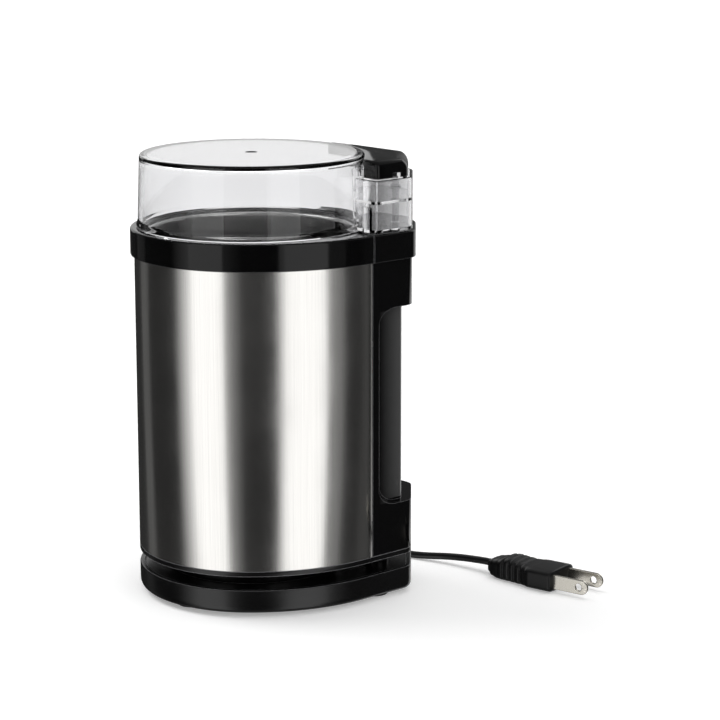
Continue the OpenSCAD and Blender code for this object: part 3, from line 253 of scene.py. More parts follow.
def mesh_object(name: str, verts: Sequence[Vector], faces: Sequence[Sequence[int]],
                angle: float = SHARP_ANGLE) -> bpy.types.Object:
    """Link an object from points and faces, with its normals outwards.

    Args:
        name: Name of the object.
        verts: Points in metres.
        faces: Rows of indices of the points.
        angle: Edges sharper than this stay sharp, in degrees.

    Returns:
        The linked object.
    """
    mesh = bpy.data.meshes.new(name)
    mesh.from_pydata([tuple(v) for v in verts], [], faces)
    mesh.validate()
    bm = bmesh.new()
    bm.from_mesh(mesh)
    bmesh.ops.remove_doubles(bm, verts=bm.verts, dist=MERGE_DISTANCE)
    bmesh.ops.recalc_face_normals(bm, faces=bm.faces)
    bm.to_mesh(mesh)
    bm.free()
    smooth_mesh(mesh, angle)
    obj = bpy.data.objects.new(name, mesh)
    bpy.context.scene.collection.objects.link(obj)
    return obj


def mesh_from_rows(name: str, rows: Sequence[Sequence[Vector]], around: bool = True,
                   closed: bool = False, caps: bool = False,
                   angle: float = SHARP_ANGLE) -> bpy.types.Object:
    """Build an object from rows of points with quads between neighbours.

    Args:
        name: Name of the object.
        rows: Rows with the same number of points.
        around: Whether each row closes on itself.
        closed: Whether the last row joins the first.
        caps: Whether the first and last rows are filled.
        angle: Edges sharper than this stay sharp, in degrees.

    Returns:
        The linked object.
    """
    width = len(rows[0])
    verts = [p for row in rows for p in row]
    faces: list[list[int]] = []
    for r in range(len(rows) if closed else len(rows) - 1):
        s = (r + 1) % len(rows)
        for c in range(width if around else width - 1):
            d = (c + 1) % width
            faces.append([r * width + c, r * width + d, s * width + d, s * width + c])
    if caps:
        faces.append(list(range(width))[::-1])
        faces.append([(len(rows) - 1) * width + c for c in range(width)])
    return mesh_object(name, verts, faces, angle)


def sweep_outline(name: str, section: Sequence[Point2]) -> bpy.types.Object:
    """Solid from a section of (outward offset, height) pairs round the body's outline."""
    rows = [[place(p, z) for p in OUTLINE.loop(grow, 2)] for grow, z in section]
    return mesh_from_rows(name, rows, caps=True)


def prism(name: str, plan: Sequence[Point2], low: float, high: float) -> bpy.types.Object:
    """Upright solid over a plan, between two heights."""
    return mesh_from_rows(name, [[place(p, z) for p in plan] for z in (low, high)], caps=True)


def block(name: str, x: Point2, y: Point2, z: Point2, turn: float = 0.0,
          centre: Point2 = MIDDLE) -> bpy.types.Object:
    """Rectangular solid between pairs of limits, turned about an upright axis at centre.

    Args:
        name: Name of the object.
        x: Limits across, in millimetres.
        y: Limits along.
        z: Lowest and highest height.
        turn: Turn about the upright axis at centre, in radians.
        centre: Where the limits are counted from.

    Returns:
        The linked object.
    """
    c, s = math.cos(turn), math.sin(turn)
    plan = [(centre[0] + px * c - py * s, centre[1] + px * s + py * c)
            for px, py in ((x[0], y[0]), (x[1], y[0]), (x[1], y[1]), (x[0], y[1]))]
    return prism(name, plan, *z)


def post(name: str, centre: Point2, radius: float, low: float, high: float,
         sides: int = 48) -> bpy.types.Object:
    """Upright round solid."""
    return prism(name, circle(centre, radius, sides), low, high)


def cross_plate(name: str, x: Point2, loop: Sequence[Point2]) -> bpy.types.Object:
    """Solid between two x values over a loop of (y, height) pairs."""
    return mesh_from_rows(name, [[place((px, y), z) for y, z in loop] for px in x], caps=True)


def combine(base: bpy.types.Object, shaping: Shaping, others: Sequence[bpy.types.Object],
            angle: float = SHARP_ANGLE) -> bpy.types.Object:
    """Join other solids to a base, or cut them out of it, and drop them.

    Args:
        base: The solid that is changed.
        shaping: Whether the others are added or cut away.
        others: The solids to add or to cut with.
        angle: Edges sharper than this stay sharp, in degrees.

    Returns:
        The base with its new mesh.
    """
    for other in others:
        modifier = base.modifiers.new("shape", "BOOLEAN")
        modifier.operation = shaping.value
        modifier.solver = "EXACT"
        modifier.object = other
        graph = bpy.context.evaluated_depsgraph_get()
        mesh = bpy.data.meshes.new_from_object(base.evaluated_get(graph))
        base.modifiers.clear()
        old = base.data
        base.data = mesh
        bpy.data.meshes.remove(old)
        bpy.data.objects.remove(other)
    base.data.name = base.name
    smooth_mesh(base.data, angle)
    return base


def revolve(name: str, profile: Sequence[Point2], segments: int = ROUND_STEPS,
            closed: bool = True) -> bpy.types.Object:
    """Turn a profile of (radius, height) pairs round the motor axis.

    Args:
        name: Name of the object.
        profile: Points in millimetres.
        segments: Steps round the axis.
        closed: Whether the profile closes on itself.

    Returns:
        The linked object.
    """
    rows = []
    for k in range(segments):
        a = 2 * math.pi * k / segments
        rows.append([place((r * math.cos(a), r * math.sin(a)), z) for r, z in profile])
    return mesh_from_rows(name, rows, around=closed, closed=True)


def tube_along(name: str, path: Sequence[Vector], radius: float,
               sides: int = 12) -> bpy.types.Object:
    """Round tube along a path, with closed ends.

    Args:
        name: Name of the object.
        path: Points of the centreline in metres.
        radius: Radius of the tube in metres.
        sides: Points round the tube.

    Returns:
        The linked object.
    """
    smooth_up_to = 60.0
    rows: list[list[Vector]] = []
    side = Vector((0, 0, 1))
    for i, p in enumerate(path):
        ahead = path[min(i + 1, len(path) - 1)] - path[max(i - 1, 0)]
        ahead.normalize()
        side = (side - ahead * side.dot(ahead)).normalized()
        up = ahead.cross(side)
        rows.append([p + radius * (math.cos(a) * side + math.sin(a) * up)
                     for a in (2 * math.pi * k / sides for k in range(sides))])
    return mesh_from_rows(name, rows, caps=True, angle=smooth_up_to)


def smooth_path(points: Sequence[Vector], steps: int = 4) -> list[Vector]:
    """Put a rounded curve through points, with steps pieces between two of them.

    Args:
        points: Points that the curve goes through.
        steps: Pieces between two of them.

    Returns:
        Points of the curve.
    """
    out: list[Vector] = []
    last = len(points) - 1
    for i in range(last):
        p0, p1 = points[max(i - 1, 0)], points[i]
        p2, p3 = points[i + 1], points[min(i + 2, last)]
        for k in range(steps):
            t = k / steps
            out.append(0.5 * ((2 * p1) + (p2 - p0) * t + (2 * p0 - 5 * p1 + 4 * p2 - p3) * t * t
                              + (3 * p1 - p0 - 3 * p2 + p3) * t * t * t))
    out.append(points[last].copy())
    return out


# ---------------------------------------------------------------- shader helpers


def add_node(tree: bpy.types.NodeTree, kind: str, **settings: object) -> bpy.types.Node:
    """Add a node of a kind to a tree and set its plain properties.

    Args:
        tree: Tree that gets the node.
        kind: Type name of the node.
        **settings: Names and values of its properties.

    Returns:
        The new node.
    """
    node = tree.nodes.new(kind)
    for key, value in settings.items():
        setattr(node, key, value)
    return node


def feed(tree: bpy.types.NodeTree, source: Socket | float, target: Socket) -> None:
    """Link a socket to a target, or write a plain number on it.

    Args:
        tree: Tree that both belong to.
        source: Socket or number that is fed in.
        target: Socket that takes it.
    """
    if isinstance(source, bpy.types.NodeSocket):
        tree.links.new(source, target)
    else:
        target.default_value = source


def calculate(tree: bpy.types.NodeTree, operation: str, first: Socket | float,
              second: Socket | float) -> Socket:
    """Result of a Math node on two sockets or numbers.

    Args:
        tree: Tree that gets the node.
        operation: Operation of the Math node.
        first: First socket or number.
        second: Second socket or number.

    Returns:
        The result.
    """
    node = add_node(tree, "ShaderNodeMath", operation=operation)
    feed(tree, first, node.inputs[0])
    feed(tree, second, node.inputs[1])
    return node.outputs[0]


def remap(tree: bpy.types.NodeTree, value: Socket,
          source: tuple[Socket | float, Socket | float] = (0.0, 1.0),
          target: tuple[Socket | float, Socket | float] = (0.0, 1.0)) -> Socket:
    """Carry a value from one range to another, held at both ends.

    Args:
        tree: Tree that gets the node.
        value: The value to carry.
        source: The two ends of its own range.
        target: The two ends of the range that it is carried to.

    Returns:
        The carried value.
    """
    node = add_node(tree, "ShaderNodeMapRange")
    feed(tree, value, node.inputs["Value"])
    for labels, ends in ((("From Min", "From Max"), source), (("To Min", "To Max"), target)):
        for label, end in zip(labels, ends):
            feed(tree, end, node.inputs[label])
    return node.outputs["Result"]


def noise_value(tree: bpy.types.NodeTree, vector: Socket, scale: Socket | float,
                detail: Socket | float) -> Socket:
    """Value of a Noise Texture node.

    Args:
        tree: Tree that gets the node.
        vector: Place at which the noise is read.
        scale: Scale of the noise.
        detail: How many finer layers it has.

    Returns:
        The value of the noise, from 0 to 1.
    """
    node = add_node(tree, "ShaderNodeTexNoise")
    feed(tree, vector, node.inputs["Vector"])
    feed(tree, scale, node.inputs["Scale"])
    feed(tree, detail, node.inputs["Detail"])
    return node.outputs["Fac"]


def mix_colours(tree: bpy.types.NodeTree, factor: Socket | float, first: Socket | Colour,
                second: Socket | Colour, blend: str = "MIX") -> Socket:
    """Colour of a Mix node, whose inputs 6 and 7 and output 2 are its colours.

    Args:
        tree: Tree that gets the node.
        factor: How much of the second colour is taken.
        first: First colour.
        second: Second colour.
        blend: How the two are put together.

    Returns:
        The mixed colour.
    """
    node = add_node(tree, "ShaderNodeMix", data_type="RGBA", blend_type=blend)
    feed(tree, factor, node.inputs["Factor"])
    for source, target in ((first, node.inputs[6]), (second, node.inputs[7])):
        feed(tree, (*source, 1.0) if isinstance(source, tuple) else source, target)
    return node.outputs[2]


class EffectGroup:
    """A shader group in the making, with float inputs and one float output."""

    def __init__(self, name: str, inputs: dict[str, float], output: str = "Value") -> None:
        """Make the group with its end nodes.

        Args:
            name: Name of the group.
            inputs: Names and first values of its inputs.
            output: Name of its output.
        """
        self.tree = bpy.data.node_groups.new(name, "ShaderNodeTree")
        for label, value in inputs.items():
            socket = self.tree.interface.new_socket(name=label, in_out="INPUT",
                                                    socket_type="NodeSocketFloat")
            socket.default_value = value
        self.tree.interface.new_socket(name=output, in_out="OUTPUT", socket_type="NodeSocketFloat")
        self.given = add_node(self.tree, "NodeGroupInput").outputs
        self.end = add_node(self.tree, "NodeGroupOutput")
        self.output = output

    def coordinates(self) -> Socket:
        """Place on the object, in metres."""
        return add_node(self.tree, "ShaderNodeTexCoord").outputs["Object"]

    def axes(self) -> dict[str, Socket]:
        """Place on the object, taken apart into X, Y and Z.

        Returns:
            The three sockets by axis.
        """
        apart = add_node(self.tree, "ShaderNodeSeparateXYZ")
        feed(self.tree, self.coordinates(), apart.inputs["Vector"])
        return {axis: apart.outputs[axis] for axis in "XYZ"}

    def close(self, value: Socket) -> bpy.types.NodeTree:
        """Lead a value out of the group and hand the group over."""
        feed(self.tree, value, self.end.inputs[self.output])
        return self.tree


# ---------------------------------------------------------------- finishes


def along_body(y: float) -> float:
    """A place along the body, given in millimetres from the motor axis, in metres."""
    return (y + OUTLINE.axis_y) * MM


class SurfaceEffects:
    """Shader groups that several finishes share."""

    def __init__(self) -> None:
        """Build the groups once."""
        self.grain = self._moulded_grain()
        self.smudge = self._handling_smudge()
        self.brush = self._brush_lines()
        self.edge_highlight = self._edge_highlight()
        self.box_painted_shade = self._box_painted_shade()
        self.recess_light_mask = self._recess_light_mask()

    @staticmethod
    def _recess_light_mask() -> bpy.types.NodeTree:
        """Mask of the painted light in the tail's finger recess: rises from From to To along the
        body, at heights between Low and High.

        Returns:
            The shader group.
        """
        group = EffectGroup("recess_light_mask", {"From": 0.0455, "To": 0.0565, "Low": 0.0425,
                                          "High": 0.1255}, "Mask")
        tree, given, axes = group.tree, group.given, group.axes()
        rise = remap(tree, axes["Y"], (given["From"], given["To"]))
        above = calculate(tree, "GREATER_THAN", axes["Z"], given["Low"])
        below = calculate(tree, "LESS_THAN", axes["Z"], given["High"])
        between = calculate(tree, "MULTIPLY", above, below)
        return group.close(calculate(tree, "MULTIPLY", between, rise))

    @staticmethod
    def _box_painted_shade() -> bpy.types.NodeTree:
        """Painted shade on the lid's box, from Front behind the cup to Tail at its end; 1 over the
        cup.

        Returns:
            The shader group.
        """
        cup_side = (along_body(49.6), along_body(50.6))
        box_length = (along_body(54.0), along_body(OUTLINE.tail_end))
        group = EffectGroup("box_painted_shade", {"Front": 0.6, "Tail": 0.9})
        place_along = group.axes()["Y"]
        tone = remap(group.tree, place_along, box_length,
                     (group.given["Front"], group.given["Tail"]))
        return group.close(remap(group.tree, place_along, cup_side, (1.0, tone)))

    @staticmethod
    def _edge_highlight() -> bpy.types.NodeTree:
        """Mask for a painted highlight along edges: above 0 within Radius of an edge, scaled by
        Amount.

        Returns:
            The shader group.
        """
        samples = 4
        flat, sharp = 0.995, 0.85
        group = EffectGroup("edge_highlight", {"Radius": 0.0005, "Amount": 1.0}, "Mask")
        rounded = add_node(group.tree, "ShaderNodeBevel", samples=samples)
        feed(group.tree, group.given["Radius"], rounded.inputs["Radius"])
        surface = add_node(group.tree, "ShaderNodeNewGeometry")
        turn = add_node(group.tree, "ShaderNodeVectorMath", operation="DOT_PRODUCT")
        feed(group.tree, rounded.outputs["Normal"], turn.inputs[0])
        feed(group.tree, surface.outputs["Normal"], turn.inputs[1])
        return group.close(remap(group.tree, turn.outputs["Value"], (flat, sharp),
                                 (0.0, group.given["Amount"])))

    @staticmethod
    def _moulded_grain() -> bpy.types.NodeTree:
        """Fine even grain of a moulded surface.

        Returns:
            The shader group.
        """
        group = EffectGroup("moulded_grain", {"Scale": 2500.0, "Detail": 3.0})
        return group.close(noise_value(group.tree, group.coordinates(), group.given["Scale"],
                                       group.given["Detail"]))

    @staticmethod
    def _handling_smudge() -> bpy.types.NodeTree:
        """Faint handling marks: a soft blotchy value between Low and High.

        Returns:
            The shader group.
        """
        detail = 4.0
        contrast = (0.35, 0.65)
        group = EffectGroup("handling_smudge", {"Scale": 45.0, "Low": 0.1, "High": 0.2})
        blotches = noise_value(group.tree, group.coordinates(), group.given["Scale"], detail)
        return group.close(remap(group.tree, blotches, contrast,
                                 (group.given["Low"], group.given["High"])))

    @staticmethod
    def _brush_lines() -> bpy.types.NodeTree:
        """Fine upright scratch lines: noise drawn together by Across and drawn out by Along.

        Returns:
            The shader group.
        """
        detail = 2.0
        group = EffectGroup("brush_lines", {"Across": 3000.0, "Along": 12.0})
        tree, axes = group.tree, group.axes()
        stretched = add_node(tree, "ShaderNodeCombineXYZ")
        for axis, label in (("X", "Across"), ("Y", "Across"), ("Z", "Along")):
            feed(tree, calculate(tree, "MULTIPLY", axes[axis], group.given[label]),
                 stretched.inputs[axis])
        return group.close(noise_value(tree, stretched.outputs["Vector"], 1.0, detail))


@dataclass(frozen=True)
class Finish:
    """One surface finish, written on the sockets of its own shader.

    rough holds the least and the most roughness, and brush_tone the darkest and lightest brush
    line. edge is how much rounded edges take their painted highlight colour, box is the painted
    shade of the lid's box behind the cup, and the recess value is the painted light grey of the
    finger recess in the tail.
    """

    name: str
    colour: Colour
    metallic: float = 0.0
    rough: Point2 = (0.3, 0.4)
    smudge_scale: float = 45.0
    relief: Relief = Relief.SMOOTH
    depth: float = 0.0
    step: float = 0.1 * MM
    grain_scale: float = 2500.0
    brush_tone: Point2 = (0.9, 1.1)
    anisotropic: float = 0.0
    transmission: float = 0.0
    ior: float = 1.5
    specular: float = 0.5
    edge: float = 0.0
    box: float = 0.0
    recess_light: float = 0.0
    edge_highlight_colour: Colour = (0.16, 0.16, 0.165)

    def build(self, effects: SurfaceEffects) -> bpy.types.Material:
        """Make the material.

        Args:
            effects: The shared shader groups.

        Returns:
            The finished material.
        """
        material = bpy.data.materials.new(self.name)
        material.use_nodes = True
        tree = material.node_tree
        shader = tree.nodes["Principled BSDF"]
        for label, value in (("Metallic", self.metallic), ("IOR", self.ior),
                             ("Anisotropic", self.anisotropic),
                             ("Transmission Weight", self.transmission),
                             ("Specular IOR Level", self.specular)):
            shader.inputs[label].default_value = value
        smudge = self.effect(tree, effects.smudge, Scale=self.smudge_scale, Low=self.rough[0],
                             High=self.rough[1])
        feed(tree, smudge, shader.inputs["Roughness"])
        brush = self.effect(tree, effects.brush) if self.relief is Relief.BRUSHED else None
        self.paint(tree, shader, effects, brush)
        self.raise_surface(tree, shader, effects, brush)
        return material

    @staticmethod
    def effect(tree: bpy.types.NodeTree, group: bpy.types.NodeTree, **values: float) -> Socket:
        """Place a shared group in a material with its own values, and give its output.

        Args:
            tree: Tree of the material.
            group: The shared group.
            **values: Names and values of its inputs.

        Returns:
            The group's output.
        """
        node = add_node(tree, "ShaderNodeGroup", node_tree=group)
        for label, value in values.items():
            node.inputs[label].default_value = value
        return node.outputs[0]

    def paint(self, tree: bpy.types.NodeTree, shader: bpy.types.Node, effects: SurfaceEffects,
              brush: Socket | None) -> None:
        """Lead the colour, with its brush tone, painted shade, painted light and painted edge
        highlight, to the shader.

        Args:
            tree: Tree of the material.
            shader: The material's shader.
            effects: The shared shader groups.
            brush: Brush lines, if the surface has them.
        """
        base = shader.inputs["Base Color"]
        base.default_value = (*self.colour, 1.0)
        colour: Socket | Colour = self.colour
        if brush is not None:
            tone = remap(tree, brush, target=self.brush_tone)
            colour = mix_colours(tree, 1.0, colour, tone, "MULTIPLY")
        # Painted shade: the lid's box behind the cup is darkened, most next to the cup.
        if self.box > 0:
            shade = self.effect(tree, effects.box_painted_shade, Front=self.box)
            colour = mix_colours(tree, 1.0, colour, shade, "MULTIPLY")
        # Painted light: the finger recess in the tail turns a lighter grey towards the tail end.
        if self.recess_light > 0:
            recess = self.effect(tree, effects.recess_light_mask)
            colour = mix_colours(tree, recess, colour, (self.recess_light, self.recess_light, self.recess_light))
        # Painted highlight: rounded edges are lightened towards their highlight colour.
        if self.edge > 0:
            highlight = self.effect(tree, effects.edge_highlight, Amount=self.edge)
            colour = mix_colours(tree, highlight, colour, self.edge_highlight_colour)
        if not isinstance(colour, tuple):
            feed(tree, colour, base)

    def raise_surface(self, tree: bpy.types.NodeTree, shader: bpy.types.Node,
                      effects: SurfaceEffects, brush: Socket | None) -> None:
        """Lead grain or brush lines to the shader's normal, and turn its gloss along them.

        Args:
            tree: Tree of the material.
            shader: The material's shader.
            effects: The shared shader groups.
            brush: Brush lines, if the surface has them.
        """
        height = brush
        if self.relief is Relief.GRAINED:
            height = self.effect(tree, effects.grain, Scale=self.grain_scale)
        if height is not None:
            bump = add_node(tree, "ShaderNodeBump")
            bump.inputs["Strength"].default_value = self.depth
            bump.inputs["Distance"].default_value = self.step
            feed(tree, height, bump.inputs["Height"])
            feed(tree, bump.outputs["Normal"], shader.inputs["Normal"])
        if self.anisotropic > 0:
            tangent = add_node(tree, "ShaderNodeTangent", direction_type="RADIAL", axis="Z")
            feed(tree, tangent.outputs["Tangent"], shader.inputs["Tangent"])


FINISHES: tuple[Finish, ...] = (
    Finish("brushed_stainless", (0.66, 0.65, 0.63), 1.0, (0.15, 0.19), 30.0,
           relief=Relief.BRUSHED, depth=0.02, anisotropic=0.4),
    # Both blacks paint a highlight along rounded edges; gloss_black also paints light into the
    # tail's finger recess.
    Finish("gloss_black", (0.0022, 0.0022, 0.0024), rough=(0.07, 0.11), smudge_scale=60.0,
           specular=0.25, edge=0.9, recess_light=0.085),
    Finish("satin_black", (0.004, 0.004, 0.0042), rough=(0.2, 0.27), relief=Relief.GRAINED,
           depth=0.05, grain_scale=3500.0, specular=0.42, edge=1.0,
           edge_highlight_colour=(0.3, 0.3, 0.31)),
    # clear_plastic paints shade on the lid's box behind the cup.
    Finish("clear_plastic", (0.992, 0.992, 1.0), rough=(0.0, 0.005), transmission=1.0, ior=1.42,
           box=0.55),
    # polished_steel is kept very dark: painted shade inside the bowl.
    Finish("polished_steel", (0.16, 0.16, 0.157), 1.0, (0.06, 0.1), 70.0),
    Finish("black_rubber", (0.012, 0.012, 0.012), rough=(0.62, 0.75), relief=Relief.GRAINED,
           depth=0.3, grain_scale=1800.0),
    Finish("white_seal", (0.78, 0.77, 0.73), rough=(0.45, 0.55), relief=Relief.GRAINED,
           depth=0.1),
    Finish("cord_black", (0.008, 0.008, 0.0085), rough=(0.3, 0.4), relief=Relief.GRAINED,
           depth=0.12, grain_scale=2200.0),
    Finish("plug_black", (0.005, 0.005, 0.0053), rough=(0.28, 0.38), relief=Relief.GRAINED,
           depth=0.12, grain_scale=2600.0, specular=0.3),
    Finish("warm_silver", (0.72, 0.69, 0.62), 1.0, (0.18, 0.26)),
    Finish("zinc_steel", (0.55, 0.56, 0.57), 1.0, (0.28, 0.42), 90.0),
    Finish("lamination_steel", (0.24, 0.25, 0.27), 0.85, (0.4, 0.55), 120.0, Relief.GRAINED,
           0.15),
    Finish("copper", (0.62, 0.28, 0.12), 0.9, (0.25, 0.4), relief=Relief.GRAINED, depth=0.25,
           grain_scale=1500.0),
    Finish("bronze", (0.52, 0.38, 0.18), 0.9, (0.35, 0.5), relief=Relief.GRAINED, depth=0.15),
    Finish("carbon", (0.03, 0.03, 0.032), rough=(0.5, 0.62), relief=Relief.GRAINED, depth=0.2),
    Finish("white_plastic", (0.76, 0.75, 0.71), rough=(0.35, 0.45), relief=Relief.GRAINED,
           depth=0.06),
    Finish("red_plastic", (0.5, 0.05, 0.03)),
    Finish("lead_red", (0.3, 0.04, 0.03), rough=(0.4, 0.5)),
    Finish("spring_steel", (0.6, 0.6, 0.6), 1.0, (0.2, 0.3)),
)


class Wardrobe:
    """Builds every finish, puts them on the pieces, and keeps the pieces' names in order."""

    def __init__(self) -> None:
        """Build the shared effects and all the materials."""
        effects = SurfaceEffects()
        self.materials = {finish.name: finish.build(effects) for finish in FINISHES}
        self.slots = {part["node"]: part["material_slot"] for part in frame["record"]["subparts"]}
        self.pieces: list[str] = []

    def dress(self, piece: bpy.types.Object, slot: str, body: str,
              *nodes: str) -> bpy.types.Object:
        """Give a new piece its finish, its body and the nodes that it stands for.

        Args:
            piece: The new piece.
            slot: Name of its finish.
            body: Name of the body that it moves with.
            *nodes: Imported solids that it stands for.

        Returns:
            The same piece.
        """
        piece.data.materials.clear()
        piece.data.materials.append(self.materials[slot])
        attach(piece, body)
        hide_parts(*nodes)
        self.pieces.append(piece.name)
        return piece

    def dress_node(self, node: str, edge: float = 0.2, segments: int = 2) -> None:
        """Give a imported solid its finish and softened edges.

        Args:
            node: Name of the node.
            edge: Width of the softened edges in millimetres, 0 for none.
            segments: Pieces across a softened edge.
        """
        weld_distance, least_angle = 0.002 * MM, 40.0
        obj = frame["nodes"][node]
        for slot in obj.material_slots:
            slot.link = "OBJECT"
            slot.material = self.materials[self.slots[node]]
        if edge > 0:
            weld = obj.modifiers.new("weld", "WELD")
            weld.merge_threshold = weld_distance
            bevel = obj.modifiers.new("soft_edges", "BEVEL")
            bevel.width = edge * MM
            bevel.segments = segments
            bevel.limit_method = "ANGLE"
            bevel.angle_limit = math.radians(least_angle)
            bevel.harden_normals = True
            bevel.use_clamp_overlap = True
        self.pieces.append(node)


class SubAssembly:
    """Pieces that are made and dressed together."""

    def build(self, wardrobe: Wardrobe) -> None:
        """Make and dress the pieces."""
        raise NotImplementedError


# ---------------------------------------------------------------- cord


@dataclass
class MainsCord(SubAssembly):
    """Mains cord: out of the base, once into a tied coil behind, then to the plug.

    Routes are in millimetres from the motor axis. coil_angle is where the turns start, and in
    each turn the cord steps over to its next slot from hop_start on, over hop degrees.
    """

    diameter: float = 3.2
    length: float = 0.765
    coil_centre: Point2 = (-88.0, 8.0)
    outer_turn: float = 19.2
    inner_turn: float = 16.0
    turns: float = 5.458
    turn_steps: int = 36
    coil_angle: float = -90.0
    hop_start: float = 290.0
    hop: float = 60.0
    tie_inside: tuple[Point2, ...] = ((-21.0, 0.1), (-21.0, 9.8), (-14.2, 9.8), (-14.2, 0.1))
    tie_outside: tuple[Point2, ...] = ((-21.7, 0.0), (-21.7, 10.4), (-13.5, 10.4), (-13.5, 0.0))
    tie_bends: Point2 = (1.6, 2.2)
    tie_width: float = 5.0
    tie_edge: float = 0.2
    route_in: tuple[Point3, ...] = (
        (-54, -11, 15), (-54.6, -11, 15), (-58, -11, 14.4), (-63, -11, 11.6), (-68, -11, 7.4),
        (-73, -11, 3.6), (-77, -11.1, 2), (-81, -11.2, 1.6))
    route_out: tuple[Point3, ...] = (
        (-87.2, 28, 4.7), (-82.3, 29.4, 3.9), (-77, 31, 2.6), (-71, 33.2, 1.7), (-65, 36, 1.6),
        (-59.5, 39.5, 1.6), (-54, 43.7, 1.6), (-48.7, 49, 1.6), (-43.8, 55.5, 1.6),
        (-39, 63, 1.6), (-34.8, 70.5, 1.8), (-31.5, 77, 2.4), (-28.3, 83.2, 3.2),
        (-24.5, 88.8, 4), (-20.5, 94.2, 4.6), (-15.8, 100.1, 5.15), (-12.9, 104.2, 5.2))

    def coil_points(self) -> list[Point3]:
        """Points of the wound turns, slot after slot.

        Returns:
            Points round the motor axis, in millimetres.
        """
        low, mid, high = (self.diameter * k for k in (0.5, 1.5, 2.5))
        slots = [(self.outer_turn, low), (self.inner_turn, low), (self.inner_turn, mid),
                 (self.inner_turn, high), (self.outer_turn, high), (self.outer_turn, mid)]
        points: list[Point3] = []
        steps = int(self.turns * self.turn_steps)
        for k in range(steps + 1):
            travelled = self.turns * 360 * k / steps
            turn = min(int(travelled // 360), len(slots) - 1)
            blend = min(max((travelled - 360 * turn - self.hop_start) / self.hop, 0), 1)
            blend = blend * blend * (3 - 2 * blend)
            r0, z0 = slots[turn]
            r1, z1 = slots[min(turn + 1, len(slots) - 1)]
            r, z = r0 + (r1 - r0) * blend, z0 + (z1 - z0) * blend
            a = math.radians(self.coil_angle - travelled)
            points.append((self.coil_centre[0] + r * math.cos(a),
                           self.coil_centre[1] + r * math.sin(a), z))
        return points

    def path(self) -> list[Vector]:
        """Whole centreline in metres.

        Returns:
            Points from the strain relief to the plug.
        """
        lead, coil, away = ([place((x, y), z) for x, y, z in points]
                            for points in (self.route_in, self.coil_points(), self.route_out))
        return smooth_path(lead + coil[:1])[:-1] + coil[:-1] + smooth_path(coil[-1:] + away)

    def build(self, wardrobe: Wardrobe) -> None:
        """Args:
            wardrobe: The built materials, which dress the pieces.
        """
        path = self.path()
        cord = tube_along("mains_cord", path, self.diameter / 2 * MM)
        wardrobe.dress(cord, "cord_black", "housing", "cord_to_coil", "cord_coil", "cord_to_plug")
        plug = Plug(rear=self.route_out[-1]).mesh()
        wardrobe.dress(plug, "plug_black", "housing", "plug_body")
        tie = self.tie()
        wardrobe.dress(tie, "black_rubber", "housing", "coil_tie")
        wardrobe.dress_node("cord_grommet", 0.25)
        wardrobe.dress_node("plug_prongs", 0.35, 3)

    def tie(self) -> bpy.types.Object:
        """Strap round the bundle on the far side of the coil.

        Returns:
            The linked strap.
        """
        inner, outer = (fillet(loop, [bend] * len(loop), steps=6)
                        for loop, bend in zip((self.tie_inside, self.tie_outside), self.tie_bends))
        half, x0, y0 = self.tie_width / 2, *self.coil_centre
        rows = [[place((x0 + x, y0 + y), z) for x, z in loop]
                for y, loop in ((self.tie_edge - half, inner), (-half, outer), (half, outer),
                                (half - self.tie_edge, inner))]
        return mesh_from_rows("coil_strap", rows, closed=True)


